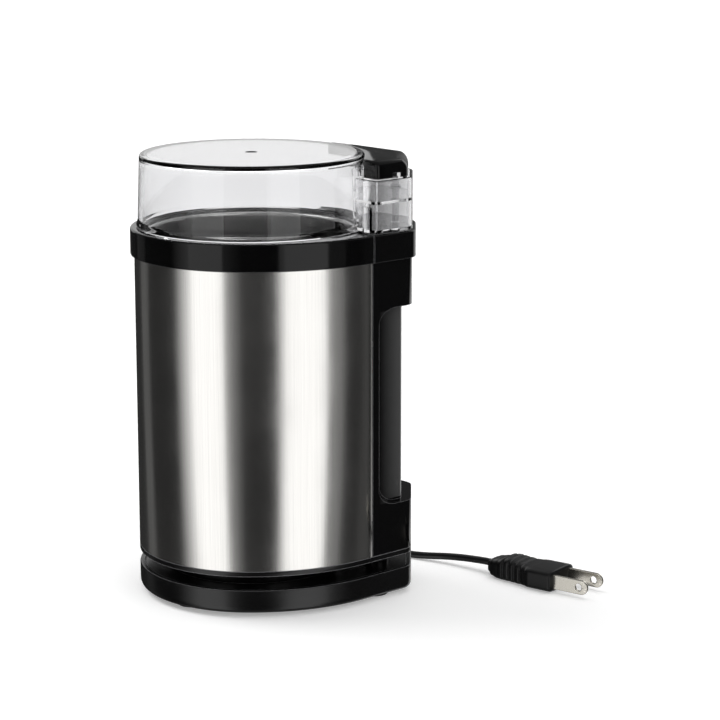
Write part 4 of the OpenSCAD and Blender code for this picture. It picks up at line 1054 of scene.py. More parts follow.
@dataclass
class Plug:
    """Moulded two-blade plug with a thumb hump and ribbed sides.

    stations holds the distance from the rear, the half-width, and the heights of the underside
    and of the top. squareness shapes the section, from 1, an oval, towards 0, a rectangle.
    """

    rear: Point3
    turn: float = math.radians(-35.0)
    squareness: float = 0.42
    rows: int = 120
    ring: int = 40
    grooves: int = 4
    groove_start: float = 9.6
    groove_pitch: float = 3.1
    groove_half: float = 0.75
    side_depth: float = 0.75
    top_depth: float = 0.35
    stations: tuple[tuple[float, float, float, float], ...] = (
        (0.0, 3.9, 2.2, 7.2), (0.8, 4.5, 1.7, 7.7), (2.6, 5.9, 0.8, 8.3), (6.0, 6.7, 0.1, 8.8),
        (9.0, 7.3, 0.0, 10.0), (12.0, 7.5, 0.0, 10.2), (15.0, 7.9, 0.0, 9.7),
        (19.0, 8.4, 0.0, 9.3), (21.6, 8.9, 0.0, 9.2), (23.0, 9.9, 0.0, 9.2),
        (24.5, 10.15, 0.0, 9.25), (34.6, 10.2, 0.0, 9.3), (35.3, 9.9, 0.25, 9.05),
        (35.5, 9.3, 0.8, 8.5))

    def section(self, s: float) -> list[float]:
        """Half-width, underside and top at a distance from the rear.

        Args:
            s: Distance from the rear in millimetres.

        Returns:
            The three measures in millimetres.
        """
        shape = self.stations
        k = max(j for j in range(len(shape)) if shape[j][0] <= s + 1e-9)
        k = min(k, len(shape) - 2)
        t = (s - shape[k][0]) / (shape[k + 1][0] - shape[k][0])
        eased = 0 < k < len(shape) - 3
        t = t * t * (3 - 2 * t) if eased else t
        return [shape[k][j] + (shape[k + 1][j] - shape[k][j]) * t for j in (1, 2, 3)]

    def groove(self, s: float) -> float:
        """How far the nearest groove is open there, from 0 to 1."""
        return max(0.0, *(1 - abs(s - (self.groove_start + self.groove_pitch * n))
                          / self.groove_half for n in range(self.grooves)))

    def mesh(self) -> bpy.types.Object:
        """The moulding, row after row from its rear.

        Returns:
            The linked plug.
        """
        flat_side, flat_top, flat_middle = 0.55, 0.8, 0.5
        length = self.stations[-1][0]
        ahead, across = math.cos(self.turn), math.sin(self.turn)
        rows = []
        for i in range(self.rows + 1):
            s = length * i / self.rows
            half, low, high = self.section(s)
            groove = self.groove(s)
            row = []
            for m in range(self.ring):
                a = 2 * math.pi * m / self.ring
                c, d = math.cos(a), math.sin(a)
                x = half * math.copysign(abs(c) ** self.squareness, c)
                z = ((low + high) / 2
                     + (high - low) / 2 * math.copysign(abs(d) ** self.squareness, d))
                if groove > 0 and abs(c) > flat_side:
                    x -= math.copysign(self.side_depth * groove ** 0.5, c)
                if groove > 0 and d > flat_top and abs(c) < flat_middle:
                    z -= self.top_depth * groove
                row.append(place((self.rear[0] + x * ahead - s * across,
                                  self.rear[1] + x * across + s * ahead), max(z, 0.0)))
            rows.append(row)
        return mesh_from_rows("plug_moulding", rows, caps=True, angle=CRISP_ANGLE)


# ---------------------------------------------------------------- studio


@dataclass(frozen=True)
class Wall:
    """A curved wall of cards between two azimuths from the camera, in degrees.

    Its brightness runs from first to last, and its height from low to high, in metres.
    """

    name: str
    start: float
    end: float
    first: float
    last: float
    low: float = -1.6
    high: float = 1.1

    def cards(self) -> int:
        """Number of cards, more where the brightness changes."""
        width = 2.5 if self.first != self.last else 8.0
        return max(1, round(abs(self.end - self.start) / width))


@dataclass(frozen=True)
class Sun:
    """A soft distant lamp, placed by its azimuth from the camera, in degrees."""

    name: str
    azimuth: float
    elevation: float
    spread: float
    power: float


WALLS: tuple[Wall, ...] = (
    Wall("back_left", -140, -132, 0.03, 0.03),
    Wall("left_strip", -132, -116, 0.13, 0.13),
    Wall("dark_left", -116, -76, 0.03, 0.03),
    Wall("left_ramp", -76, -58, 0.05, 1.1),
    Wall("left_panel", -58, -25, 1.55, 1.55),
    Wall("left_step", -25, -18, 0.42, 0.3),
    Wall("middle_ramp", -18, -8, 0.25, 0.06),
    Wall("dark_middle", -8, 17.5, 0.04, 0.025),
    Wall("right_edge", 17.5, 21, 0.5, 1.3),
    Wall("right_panel", 21, 51, 1.55, 1.55),
    Wall("grey_card", 51, 64, 0.24, 0.24),
    Wall("olive_card", 64, 79, 0.03, 0.03),
    Wall("far_card", 79, 104, 0.075, 0.06),
    Wall("dark_right", 104, 118, 0.03, 0.03),
    Wall("back_ramp", 118, 130, 0.05, 1.0),
    Wall("back_panel", 130, 158, 1.2, 1.2),
    Wall("back_step", 158, 178.5, 0.4, 0.05),
    Wall("rear_high", 178.5, 220, 0.8, 0.8, low=0.15),
    Wall("rear_low", 178.5, 220, 0.03, 0.03, high=0.15),
)

SUNS: tuple[Sun, ...] = (
    Sun("key", -112, 50, 34, 1.4),
    Sun("fill", 40, 34, 50, 0.9),
    Sun("top", 150, 74, 40, 0.75),
)


@dataclass
class Studio:
    """Floor, lamps, and the panels and cards that the bright metal reflects."""

    camera_azimuth: float = 91.0
    wall_reach: float = 1.3
    sun_distance: float = 2.0
    sun_aim: float = 0.09
    world_level: float = 0.3
    floor_reach: float = 4.0
    floor_colour: float = 0.88
    floor_rough: float = 0.7
    floor_specular: float = 0.2
    floor_glow: float = 0.32

    def build(self) -> None:
        """Make the whole studio."""
        self.build_world()
        self.build_floor()
        for wall in WALLS:
            self.build_wall(wall)
        for sun in SUNS:
            self.build_sun(sun)

    @staticmethod
    def plain(name: str, colour: float, rough: float, specular: float) -> bpy.types.Material:
        """A plain grey material with a white glow, whose strength is set afterwards.

        Args:
            name: Name of the material.
            colour: Its grey, from 0 to 1.
            rough: Its roughness.
            specular: Its specular level.

        Returns:
            The material.
        """
        material = bpy.data.materials.new(name)
        material.use_nodes = True
        inputs = material.node_tree.nodes["Principled BSDF"].inputs
        inputs["Base Color"].default_value = (colour, colour, colour, 1)
        inputs["Roughness"].default_value = rough
        inputs["Specular IOR Level"].default_value = specular
        inputs["Emission Color"].default_value = (1, 1, 1, 1)
        return material

    def build_wall(self, wall: Wall) -> None:
        """Make a wall's cards, which show only in reflections.

        Args:
            wall: Place and brightness of the wall.
        """
        count = wall.cards()
        first = self.camera_azimuth + wall.start
        bounds = [math.radians(first + (wall.end - wall.start) * k / count)
                  for k in range(count + 1)]
        for k, (a, b) in enumerate(zip(bounds, bounds[1:])):
            name = f"{wall.name}_{k}"
            corners = [Vector((self.wall_reach * math.sin(t), -self.wall_reach * math.cos(t), z))
                       for t, z in ((a, wall.low), (b, wall.low), (b, wall.high), (a, wall.high))]
            card = mesh_object(name, corners, [[0, 1, 2, 3]])
            material = self.plain(name, 0.0, 1.0, 0.0)
            glow = wall.first + (wall.last - wall.first) * (k + 0.5) / count
            shader = material.node_tree.nodes["Principled BSDF"]
            shader.inputs["Emission Strength"].default_value = glow
            card.data.materials.append(material)
            card.visible_camera = False
            card.visible_diffuse = False
            card.visible_transmission = False
            card.visible_shadow = False

    def build_sun(self, sun: Sun) -> None:
        """Make a lamp and keep it out of reflections.

        Args:
            sun: Place and power of the lamp.
        """
        data = bpy.data.lights.new(sun.name, "SUN")
        data.angle = math.radians(sun.spread)
        data.energy = sun.power
        lamp = bpy.data.objects.new(sun.name, data)
        a, e = math.radians(self.camera_azimuth + sun.azimuth), math.radians(sun.elevation)
        back = Vector((math.sin(a) * math.cos(e), -math.cos(a) * math.cos(e), math.sin(e)))
        lamp.location = back * self.sun_distance + Vector((0, 0, self.sun_aim))
        lamp.rotation_euler = back.to_track_quat("Z", "Y").to_euler()
        lamp.visible_glossy = False
        bpy.context.scene.collection.objects.link(lamp)

    def build_world(self) -> None:
        """White to the eye and through clear pieces; a plain level for light."""
        world = bpy.data.worlds.new("studio")
        bpy.context.scene.world = world
        world.use_nodes = True
        tree = world.node_tree
        background = tree.nodes["Background"]
        background.inputs["Color"].default_value = (1, 1, 1, 1)
        path = add_node(tree, "ShaderNodeLightPath").outputs
        seen = calculate(tree, "MAXIMUM", path["Is Camera Ray"], path["Is Transmission Ray"])
        feed(tree, remap(tree, seen, target=(self.world_level, 1.0)),
             background.inputs["Strength"])

    def build_floor(self) -> None:
        """Pale matt floor that keeps the soft shadow and reads white elsewhere."""
        s = self.floor_reach
        floor = mesh_object("floor", [Vector((-s, -s, 0)), Vector((s, -s, 0)), Vector((s, s, 0)),
                                      Vector((-s, s, 0))], [[0, 1, 2, 3]])
        material = self.plain("floor_white", self.floor_colour, self.floor_rough,
                              self.floor_specular)
        tree = material.node_tree
        path = add_node(tree, "ShaderNodeLightPath").outputs
        feed(tree, calculate(tree, "MULTIPLY", path["Is Camera Ray"], self.floor_glow),
             tree.nodes["Principled BSDF"].inputs["Emission Strength"])
        floor.data.materials.append(material)
        floor.visible_glossy = False


@dataclass
class View:
    """The camera: angles in degrees, places in metres."""

    azimuth: float = 90.9033
    elevation: float = 11.379
    distance: float = 0.99992
    focal_px: float = 2336.5
    aim_right: float = 0.0426151
    aim_up: float = 0.1183217
    shift_x: float = -0.0187
    shift_y: float = -0.06
    sensor: float = 36.0
    frame_px: float = 720.0
    nearest: float = 0.05

    def build(self) -> None:
        """Make the camera and put it in use."""
        data = bpy.data.cameras.new("view")
        data.sensor_width = self.sensor
        data.sensor_fit = "HORIZONTAL"
        data.lens = self.focal_px * self.sensor / self.frame_px
        data.shift_x = self.shift_x
        data.shift_y = self.shift_y
        data.clip_start = self.nearest
        camera = bpy.data.objects.new("view", data)
        a, e = math.radians(self.azimuth), math.radians(self.elevation)
        back = Vector((math.cos(e) * math.sin(a), -math.cos(e) * math.cos(a), math.sin(e)))
        right = Vector((math.cos(a), math.sin(a), 0))
        aim = right * self.aim_right + Vector((0, 0, self.aim_up))
        camera.location = aim + back * self.distance
        camera.rotation_mode = "QUATERNION"
        camera.rotation_quaternion = (-back).to_track_quat("-Z", "Y")
        bpy.context.scene.collection.objects.link(camera)
        bpy.context.scene.camera = camera


# ---------------------------------------------------------------- body


ROD_SLOT_X: Point2 = (-3.3, 3.3)
ROD_SLOT_Y: Point2 = (58.9, 62.3)
WELD_LAP = 0.05


@dataclass
class Housing(SubAssembly):
    """Base, sleeve, tail cover and collar, with heights and offsets in millimetres.

    An edge is a section of (outward offset, height) pairs from its own corner. A step of the
    collar's bore is its name, its radius and the height of its floor, and an ear's way is its
    limits outwards, across and in height.
    """

    seam_y: float = 51.5
    seam_width: float = 0.5
    seam_depth: float = 1.0
    sleeve_low: float = 20.2
    sheet: float = 0.6
    sheet_edge: float = 0.2
    collar_low: float = 146.7
    collar_top: float = 158.3
    collar_proud: float = 1.6
    collar_wall: float = 2.0
    collar_inset: float = 0.4
    collar_foot: tuple[Point2, ...] = ((-0.5, 0.0), (-0.15, 0.15), (0.0, 0.5), (0.0, 0.8))
    collar_rim: tuple[Point2, ...] = ((0.0, -1.3), (0.0, -1.0), (-0.1, -0.55), (-0.35, -0.2),
                                      (-0.8, 0.0), (-1.2, 0.0))
    bore_wall_r: float = 47.8
    bore_wall_low: float = 151.5
    bore_steps: tuple[tuple[str, float, float], ...] = (
        ("throat", 43.9, 150.0), ("bore", 45.8, 153.5), ("seat", 48.7, 157.1))
    bore_end: float = 160.0
    rod_slot_low: float = 155.0
    ear_ways: tuple[float, float] = (60.0, 240.0)
    ear_way: tuple[Point2, Point2, Point2] = ((44.8, 46.8), (-5.0, 5.0), (155.1, 159.1))
    base_low: float = 2.0
    base_wall: float = 2.0
    tray_top: float = 11.2
    rim_top: float = 12.0
    rim_lip: float = 2.0
    rim_slope: float = 0.4
    base_foot: tuple[Point2, ...] = ((-1.8, 0.0), (-1.1, 0.15), (-0.5, 0.7), (-0.1, 1.6),
                                     (0.0, 2.8), (0.0, 3.2))
    base_rim: tuple[Point2, ...] = ((0.0, -1.1), (0.0, -0.8), (-0.12, -0.4), (-0.35, -0.12),
                                    (-0.8, 0.0), (-1.0, 0.0))
    well_ring: float = 28.0
    well_angles: tuple[float, float, float] = (30.0, 150.0, 270.0)
    tail_well: Point2 = (0.0, 53.0)
    feet: tuple[Point2, ...] = ((-30.0, -25.0), (30.0, -25.0), (-14.0, 52.0), (14.0, 52.0))
    boss_r: float = 7.5
    well_r: float = 5.0
    stem_r: float = 2.6
    stem_depth: float = 3.1
    head_r: float = 3.2
    shank_r: float = 1.8
    hole_sides: int = 24
    sharp: float = 32.0

    def build(self, wardrobe: Wardrobe) -> None:
        """Make or dress the outer shells.

        Args:
            wardrobe: The built materials, which dress the pieces.
        """
        wardrobe.dress(self.sleeve(), "brushed_stainless", "housing", "steel_sleeve")
        wardrobe.dress(self.collar(), "gloss_black", "housing", "top_collar")
        wardrobe.dress(self.base(), "satin_black", "housing", "base_plate")
        for node, edge in (("motor_housing", 0.35), ("tail_cover", 0.6)):
            wardrobe.dress_node(node, edge, 3)
        for node in ("rubber_feet", "base_screws", "cord_spool", "tail_spacer", "tail_screws",
                     "bowl_gasket", "bowl_carrier"):
            wardrobe.dress_node(node)

    def sleeve(self) -> bpy.types.Object:
        """Bent steel sheet round the front and the flanks.

        Returns:
            The linked sheet.
        """
        section = fillet([(0.0, self.sleeve_low), (0.0, self.collar_low),
                          (-self.sheet, self.collar_low), (-self.sheet, self.sleeve_low)],
                         [self.sheet_edge] * 4, steps=2)
        rows = [[place(p, z) for p in OUTLINE.front(grow, self.seam_y, 3)] for grow, z in section]
        columns = [list(column) for column in zip(*rows)]
        return mesh_from_rows("sleeve_sheet", columns, caps=True, angle=CRISP_ANGLE)

    def collar(self) -> bpy.types.Object:
        """Collar round the top, with the lid's seat, the bowl's ledge and the rod's slot.

        Returns:
            The linked collar.
        """
        shell = sweep_outline("collar_ring", [
            *edge_points(self.collar_proud, self.collar_low, self.collar_foot),
            *edge_points(self.collar_proud, self.collar_top, self.collar_rim)])
        combine(shell, Shaping.CUT, [sweep_outline("cavity", [
            (-self.collar_inset, self.collar_low - 1),
            (-self.collar_inset, self.collar_top - self.collar_wall)])])
        combine(shell, Shaping.ADD, [post("bore_wall", MIDDLE, self.bore_wall_r, self.bore_wall_low,
                                          self.collar_top - WELD_LAP, ROUND_STEPS)])
        cutters = [post(name, MIDDLE, radius, low, self.bore_end, ROUND_STEPS)
                   for name, radius, low in self.bore_steps]
        cutters.append(block("rod_way", ROD_SLOT_X, ROD_SLOT_Y, (self.rod_slot_low, self.bore_end)))
        cutters += [block("ear_way", *self.ear_way, math.radians(turn)) for turn in self.ear_ways]
        y = self.seam_y + self.seam_depth
        for side in (-1, 1):
            cutters.append(block("seam", (-self.seam_width / 2, self.seam_width / 2),
                                 (-self.seam_depth / 2, self.seam_depth / 2),
                                 (self.collar_low - 1, self.bore_end),
                                 side * (OUTLINE.angle - math.pi / 2),
                                 (side * OUTLINE.flank_x(y, self.collar_proud), y)))
        return combine(shell, Shaping.CUT, cutters, self.sharp)

    def base(self) -> bpy.types.Object:
        """Shallow base tray with its rim, screw wells and bosses for the feet.

        Returns:
            The linked tray.
        """
        deck = self.tray_top - self.base_wall
        below = self.base_low - 1
        shell = sweep_outline("base_tray", [
            *edge_points(0.0, self.base_low, self.base_foot),
            *edge_points(0.0, self.rim_top, self.base_rim)])
        lip, inset = -self.rim_lip, -self.rim_lip - self.rim_slope
        combine(shell, Shaping.CUT, [
            sweep_outline("tray", [(inset, self.tray_top), (inset, self.rim_top - self.rim_slope),
                                   (lip, self.rim_top), (lip, self.rim_top + 1)]),
            sweep_outline("underside", [(-self.base_wall, below), (-self.base_wall, deck)])])
        turns = [math.radians(degrees) for degrees in self.well_angles]
        wells = [(self.well_ring * math.cos(a), self.well_ring * math.sin(a)) for a in turns]
        wells.append(self.tail_well)
        joined = deck + WELD_LAP
        combine(shell, Shaping.ADD,
                [post("boss", p, self.boss_r, self.base_low + 0.01, joined) for p in self.feet]
                + [post("well", p, self.well_r, self.base_low + 1, joined) for p in wells])
        cutters = [post("stem", p, self.stem_r, below, self.base_low + self.stem_depth,
                        self.hole_sides) for p in self.feet]
        for p in wells:
            cutters += [post("head", p, self.head_r, below, deck, self.hole_sides),
                        post("shank", p, self.shank_r, deck - 1, self.rim_top + 1,
                             self.hole_sides)]
        return combine(shell, Shaping.CUT, cutters, self.sharp)


@dataclass
class Insides(SubAssembly):
    """Bowl, motor, switch and wiring.

    The bowl's steps are depths below its rim, and its bends are radii, from the hole outwards
    on the inside and from the rim inwards on the outside.
    """

    bowl_top: float = 157.1
    bowl_depth: float = 37.8
    sheet: float = 0.7
    hole_r: float = 5.7
    floor_r: float = 36.0
    shelf_r: float = 39.6
    wall_r: float = 43.0
    inner_steps: tuple[float, float, float] = (26.0, 25.0, 21.0)
    outer_steps: tuple[float, float, float] = (26.6, 25.6, 21.3)
    inner_bends: tuple[float, ...] = (0, 2.4, 1.2, 1.5, 5, 0)
    outer_bends: tuple[float, ...] = (0, 5, 1.5, 1.2, 3, 0)
    under_rim: tuple[float, float, float] = (1.4, 1.6, 1.7)
    rim_r: float = 44.3
    bead_r: float = 1.3
    lip: tuple[Point2, ...] = ((45.6, -1.8), (44.9, -1.8), (44.3, -0.9))
    rod_y: float = 60.6
    rod_travel: float = 2.31
    spring_r: float = 3.9
    spring_wire: float = 0.3
    spring_turns: int = 4
    spring_steps: int = 18

    def bowl(self) -> bpy.types.Object:
        """Drawn steel bowl with a stepped wall, a rolled rim and a hole for the shaft.

        Returns:
            The linked bowl.
        """
        deep = self.bowl_depth
        low, mid, high = self.inner_steps
        inner = fillet([(self.hole_r, -deep), (self.floor_r, -deep), (self.floor_r, -low),
                        (self.shelf_r, -mid), (self.wall_r, -high), (self.wall_r, 0.0)],
                       self.inner_bends, closed=False)
        rim = arc((self.rim_r, -self.bead_r), self.bead_r, math.pi, 0.0, 8)
        low, mid, high = self.outer_steps
        bead_end, lip_end, wall_start = self.under_rim
        floor, shelf, wall = (r + self.sheet for r in (self.floor_r, self.shelf_r, self.wall_r))
        outer = fillet([(wall, -wall_start), (wall, -high), (shelf, -mid), (floor, -low),
                        (floor, -deep - self.sheet), (self.hole_r, -deep - self.sheet)],
                       self.outer_bends, closed=False)
        profile = [p for p in inner if p[1] < -bead_end] + rim + [*self.lip, (wall, -lip_end)]
        profile += outer
        return revolve("bowl_wall", [(r, self.bowl_top + z) for r, z in profile])

    def rod_spring(self, wardrobe: Wardrobe) -> None:
        """Coil spring round the push rod, as tall as the imported spring; it is not made to shorten
        as the rod goes down.

        Args:
            wardrobe: The built materials, which dress the pieces.
        """
        low, high = (corner[2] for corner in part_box("rod_spring"))
        reach, wire = self.spring_r * MM, self.spring_wire * MM
        centre = place((0.0, self.rod_y), 0.0)
        count = self.spring_turns * self.spring_steps
        path = []
        for k in range(count + 1):
            a = 2 * math.pi * k / self.spring_steps
            z = low + wire + (high - low - 2 * wire) * k / count
            path.append(Vector((centre.x + reach * math.cos(a), centre.y + reach * math.sin(a), z)))
        spring = tube_along("rod_coil", path, wire, 10)
        wardrobe.dress(spring, "spring_steel", "housing", "rod_spring")
        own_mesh(spring)

    def build(self, wardrobe: Wardrobe) -> None:
        """Make the bowl and the rod's spring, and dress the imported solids.

        Args:
            wardrobe: The built materials, which dress the pieces.
        """
        wardrobe.dress(self.bowl(), "polished_steel", "housing", "grinding_bowl")
        self.rod_spring(wardrobe)
        for node in ("stator_core", "field_coils", "lower_bracket", "upper_bracket",
                     "lower_bearing", "upper_bearing", "spacer_tubes", "motor_bolts",
                     "rubber_mounts", "mount_screws", "brush_holders", "carbon_brushes",
                     "micro_switch", "switch_screws", "motor_shaft", "rotor_core",
                     "rotor_windings", "commutator", "cooling_fan", "blade_hub", "switch_rod",
                     "switch_plunger"):
            wardrobe.dress_node(node)
        for node, edge in (("shaft_seal", 0.3), ("grinding_blade", 0.15), ("blade_nut", 0.3),
                           ("motor_leads", 0.0)):
            wardrobe.dress_node(node, edge)


@dataclass
class Lid(SubAssembly):
    """Clear lid with its box, press bar, pin, spring and pusher.

    An edge is a section of (inward offset, height) pairs from its own corner, and a block is its
    limits in x, y and height. foot_fade is the height where the foot meets the wall, the height
    whose radius it takes, and how far it stands proud there. flat_r holds the radii where the
    flat of the top, of the ceiling, and of the ceiling's middle start. The bar's shoulders and
    insets are given for its sides, ends, edge along the cup, and tail, and its corners for the
    wing's inner corner, the cheek's two corners and the wing's outer corner.
    """

    low: float = 157.4
    top: float = 189.3
    foot_r: float = 48.4
    top_r: float = 47.2
    wall: float = 2.0
    foot_line: tuple[Point2, ...] = ((0.0, 157.4), (46.0, 157.4), (48.3, 157.4), (48.35, 158.4),
                                     (48.9, 158.9), (48.9, 159.6))
    foot_fade: tuple[float, float, float] = (160.4, 160.6, 0.25)
    wall_heights: tuple[float, float, float] = (161.4, 162.0, 185.5)
    rim_low: float = 186.0
    rim_bend: float = 2.6
    top_line: tuple[Point2, ...] = ((20.0, 0.0), (2.6, 0.0), (2.0, -0.45), (0.0, -0.45))
    inner_heights: Point2 = (184.0, 184.5)
    inner_bend: float = 2.0
    flat_r: tuple[float, float, float] = (43.5, 42.0, 20.0)
    cup_steps: int = 180
    box_low: float = 158.6
    box_top: float = 180.5
    box_wall: float = 1.3
    box_proud: float = 0.2
    box_edges: Point2 = (0.9, 0.5)
    box_foot: tuple[Point2, ...] = ((0.3, 0.0), (0.0, 0.3), (0.0, 0.8))
    box_rim: tuple[Point2, ...] = ((0.0, -0.8), (0.0, -0.4), (0.12, -0.12), (0.4, 0.0))
    shelf: Point2 = (170.6, 171.8)
    rod_slot_z: Point2 = (157.0, 182.0)
    wedge_y: float = 28.2
    pin: Point2 = (50.5, 183.1)
    pin_hole_r: float = 1.35
    ear_r: float = 2.4
    ear_x: Point2 = (9.0, 11.0)
    ear_root: float = 46.2
    lug_centre: Point2 = (23.78, 49.96)
    lug_size: tuple[Point2, Point2] = ((-2.2, 2.2), (-1.4, 0.6))
    lug_top: float = 169.5
    bar_low: float = 180.9
    bar_under: float = 186.7
    bar_gap: float = 0.6
    bar_inset: float = 1.7
    bar_drop: float = 0.5
    bar_slope: float = 0.019
    bar_level_y: float = 35.7
    cheek_inset: float = 2.3
    wing_y: float = 32.0
    wing_under: tuple[Point2, float] = ((-60.0, -17.0), 25.0)
    wing_sheet: float = 1.2
    shoulders: tuple[float, float, float, float] = (3.0, 1.2, 0.6, 5.0)
    shoulder_angles: tuple[int, ...] = (90, 78, 66, 54, 42, 30, 18, 8, 0)
    bar_corners: tuple[float, float, float, float] = (2.0, 1.6, 2.0, 3.0)
    room_insets: tuple[float, float, float, float] = (1.8, 1.8, 3.3, 1.8)
    room_corners: tuple[float, float, float, float] = (0, 0.5, 0.5, 0)
    room_nose: float = 6.0
    cup_way_r: float = 49.3
    pin_room: tuple[Point2, Point2] = ((-16.0, 16.0), (40.2, 53.0))
    notch: tuple[Point2, Point2] = ((8.0, 32.0), (60.0, 63.0))
    notch_rise: float = 2.0
    bar_lug_x: Point2 = (11.3, 13.3)
    bar_lug_root: float = 2.0
    finger: tuple[Point2, Point2] = ((-2.5, 2.5), (59.6, 61.6))
    finger_low: float = 179.3
    leg: tuple[Point2, Point2, Point2] = ((-4.5, 4.5), (64.0, 65.8), (178.9, 183.9))
    shell_sharp: float = 30.0
    sharp: float = 32.0

    def corner(self, reach: float, inset: float) -> tuple[float, Point2, Point2]:
        """Tip of the front walls, their right-hand corner, and the centre of the tail corner.

        Args:
            reach: Distance of the flank from the axis.
            inset: Inward offset from the front walls.

        Returns:
            The three places, the first as its y alone.
        """
        tip = self.wedge_y + inset / math.cos(OUTLINE.angle)
        t = reach - tip * math.sin(OUTLINE.angle)
        right = (t * math.cos(OUTLINE.angle), tip + t * math.sin(OUTLINE.angle))
        return tip, right, OUTLINE.corner

    def box_plan(self, grow: float, inset: float, edge: float) -> list[Point2]:
        """Plan of the box behind the cup.

        Args:
            grow: Outward offset from the body's outline.
            inset: Inward offset from the front walls.
            edge: Radius of the two front edges.

        Returns:
            Closed loop of points.
        """
        tip, front_corner, centre = self.corner(OUTLINE.flank_dist + grow, inset)
        right = [(0.0, tip), front_corner]
        right += arc(centre, OUTLINE.corner_r + grow, OUTLINE.angle, math.pi / 2, 10)
        loop = right + [(0.0, OUTLINE.tail_end + grow)] + [(-x, y) for x, y in right[:0:-1]]
        radii = [0.0] * len(loop)
        radii[1] = radii[-1] = edge
        return fillet(loop, radii)

    def cup_radius(self, z: float) -> float:
        """Outer radius of the cup at a height."""
        slope = (self.foot_r - self.top_r) / (self.top - self.low)
        return self.foot_r - slope * (z - self.low)

    def cup_outside(self) -> list[Point2]:
        """Outer profile of the cup, from the middle of its foot to the middle of its top.

        Returns:
            Pairs of radius and height.
        """
        height, level, proud = self.foot_fade
        line = [*self.foot_line, (self.cup_radius(level) + proud, height)]
        line += [(self.cup_radius(z), z) for z in self.wall_heights]
        line += fillet([(self.cup_radius(self.rim_low), self.rim_low), (self.top_r, self.top),
                        (self.flat_r[0], self.top)], [0, self.rim_bend, 0], closed=False, steps=8)
        return line + edge_points(0.0, self.top, self.top_line)

    def cup_inside(self) -> list[Point2]:
        """Inner profile of the cup, from below its foot to the middle of its ceiling.

        Returns:
            Pairs of radius and height.
        """
        ceiling = self.top - self.wall
        foot = self.cup_radius(self.low) - self.wall
        last, bend = ((self.cup_radius(z) - self.wall, z) for z in self.inner_heights)
        line = [(0.0, self.low - 1), (foot, self.low - 1), (foot, self.low), last]
        line += fillet([bend, (self.top_r - self.wall, ceiling), (self.flat_r[1], ceiling)],
                       [0, self.inner_bend, 0], closed=False, steps=6)
        return line + [(self.flat_r[2], ceiling), (0.0, ceiling)]

    def shell(self) -> bpy.types.Object:
        """Clear cup and box in one moulding.

        Returns:
            The linked moulding.
        """
        section = [*edge_points(0.0, self.box_low, self.box_foot),
                   *edge_points(0.0, self.box_top, self.box_rim)]
        box = mesh_from_rows("lid_moulding", [
            [place(p, z) for p in self.box_plan(self.box_proud - inset, inset, self.box_edges[0])]
            for inset, z in section], caps=True)
        room = self.box_plan(self.box_proud - self.box_wall, self.box_wall, self.box_edges[1])
        combine(box, Shaping.CUT, [
            prism("low_room", room, self.box_low + self.box_wall, self.shelf[0]),
            prism("high_room", room, self.shelf[1], self.box_top + 1)])
        cup = revolve("cup", self.cup_outside(), self.cup_steps, closed=False)
        hollow = revolve("hollow", self.cup_inside(), self.cup_steps, closed=False)
        ears = [cross_plate("ear", x, self.ear_loop()) for x in both_sides(*self.ear_x)]
        lugs = [block("lug", *self.lug_size, (self.box_low, self.lug_top), side * OUTLINE.angle,
                      (side * self.lug_centre[0], self.lug_centre[1])) for side in (-1, 1)]
        combine(box, Shaping.ADD, [cup, *ears, *lugs])
        return combine(box, Shaping.CUT, [
            hollow, self.pin_bore(),
            block("rod_way", ROD_SLOT_X, ROD_SLOT_Y, self.rod_slot_z)], self.shell_sharp)

    def ear_loop(self) -> list[Point2]:
        """Side view of an ear, from its root to its rounded end round the pin.

        Returns:
            Pairs of y and height.
        """
        z = self.pin[1]
        end = arc(self.pin, self.ear_r, -math.pi / 2, math.pi / 2, 15)
        return [(self.ear_root, z - self.ear_r), *end, (self.ear_root, z + self.ear_r - 0.6)]

    def pin_bore(self) -> bpy.types.Object:
        """Round solid along the hinge pin."""
        return cross_plate("bore", (-15.0, 15.0), circle(self.pin, self.pin_hole_r))

    def bar_plan(self, insets: Sequence[float], falls: Sequence[float], corners: Sequence[float],
                 nose: float = 0.0) -> list[tuple[float, ...]]:
        """Plan of the press bar with a fall for each side.

        Args:
            insets: Inward offsets of the sides, of the ends, of the edge along the cup, and of
                the tail.
            falls: How far each of these lies below the top.
            corners: Radii of the wing's inner corner, the cheek's two corners and the wing's
                outer corner.
            nose: Further inward offset of the wing's end alone.

        Returns:
            Closed loop of (x, y, fall).
        """
        side, end, ring, tail = insets
        fall_side, fall_end, fall_ring, fall_tail = falls
        ring_steps, tail_steps, flank_steps = 16, 10, 8
        near = self.top_r + self.bar_gap + ring
        y_end = self.wing_y + end + nose
        first = math.atan2(y_end, -math.sqrt(near * near - y_end * y_end))
        along_cup = arc(MIDDLE, near, first, math.pi / 2, ring_steps, whole=False)
        loop: list[tuple[float, ...]] = [(*p, fall_ring if k else fall_end)
                                         for k, p in enumerate(along_cup)]
        radii = [corners[0]] + [0.0] * (ring_steps - 1)
        reach = OUTLINE.flank_dist - self.bar_inset - side
        tip, cheek, centre = self.corner(reach, self.cheek_inset + end)
        loop += [(0.0, near, fall_ring),
                 ((near - tip) / math.tan(OUTLINE.angle), near, fall_ring), (*cheek, fall_side)]
        radii += [0.0, corners[1], corners[2]]
        right: list[tuple[float, ...]] = []
        for k in range(tail_steps + 1):
            t = k / tail_steps
            a = OUTLINE.angle + (math.pi / 2 - OUTLINE.angle) * t
            r = OUTLINE.corner_r - self.bar_inset - (side + (tail - side) * t)
            right.append((centre[0] + r * math.cos(a), centre[1] + r * math.sin(a),
                          fall_side + (fall_tail - fall_side) * t))
        loop += right + [(0.0, right[-1][1], fall_tail)] + [(-x, y, z) for x, y, z in right[::-1]]
        flank = OUTLINE.flank_r - self.bar_inset - side
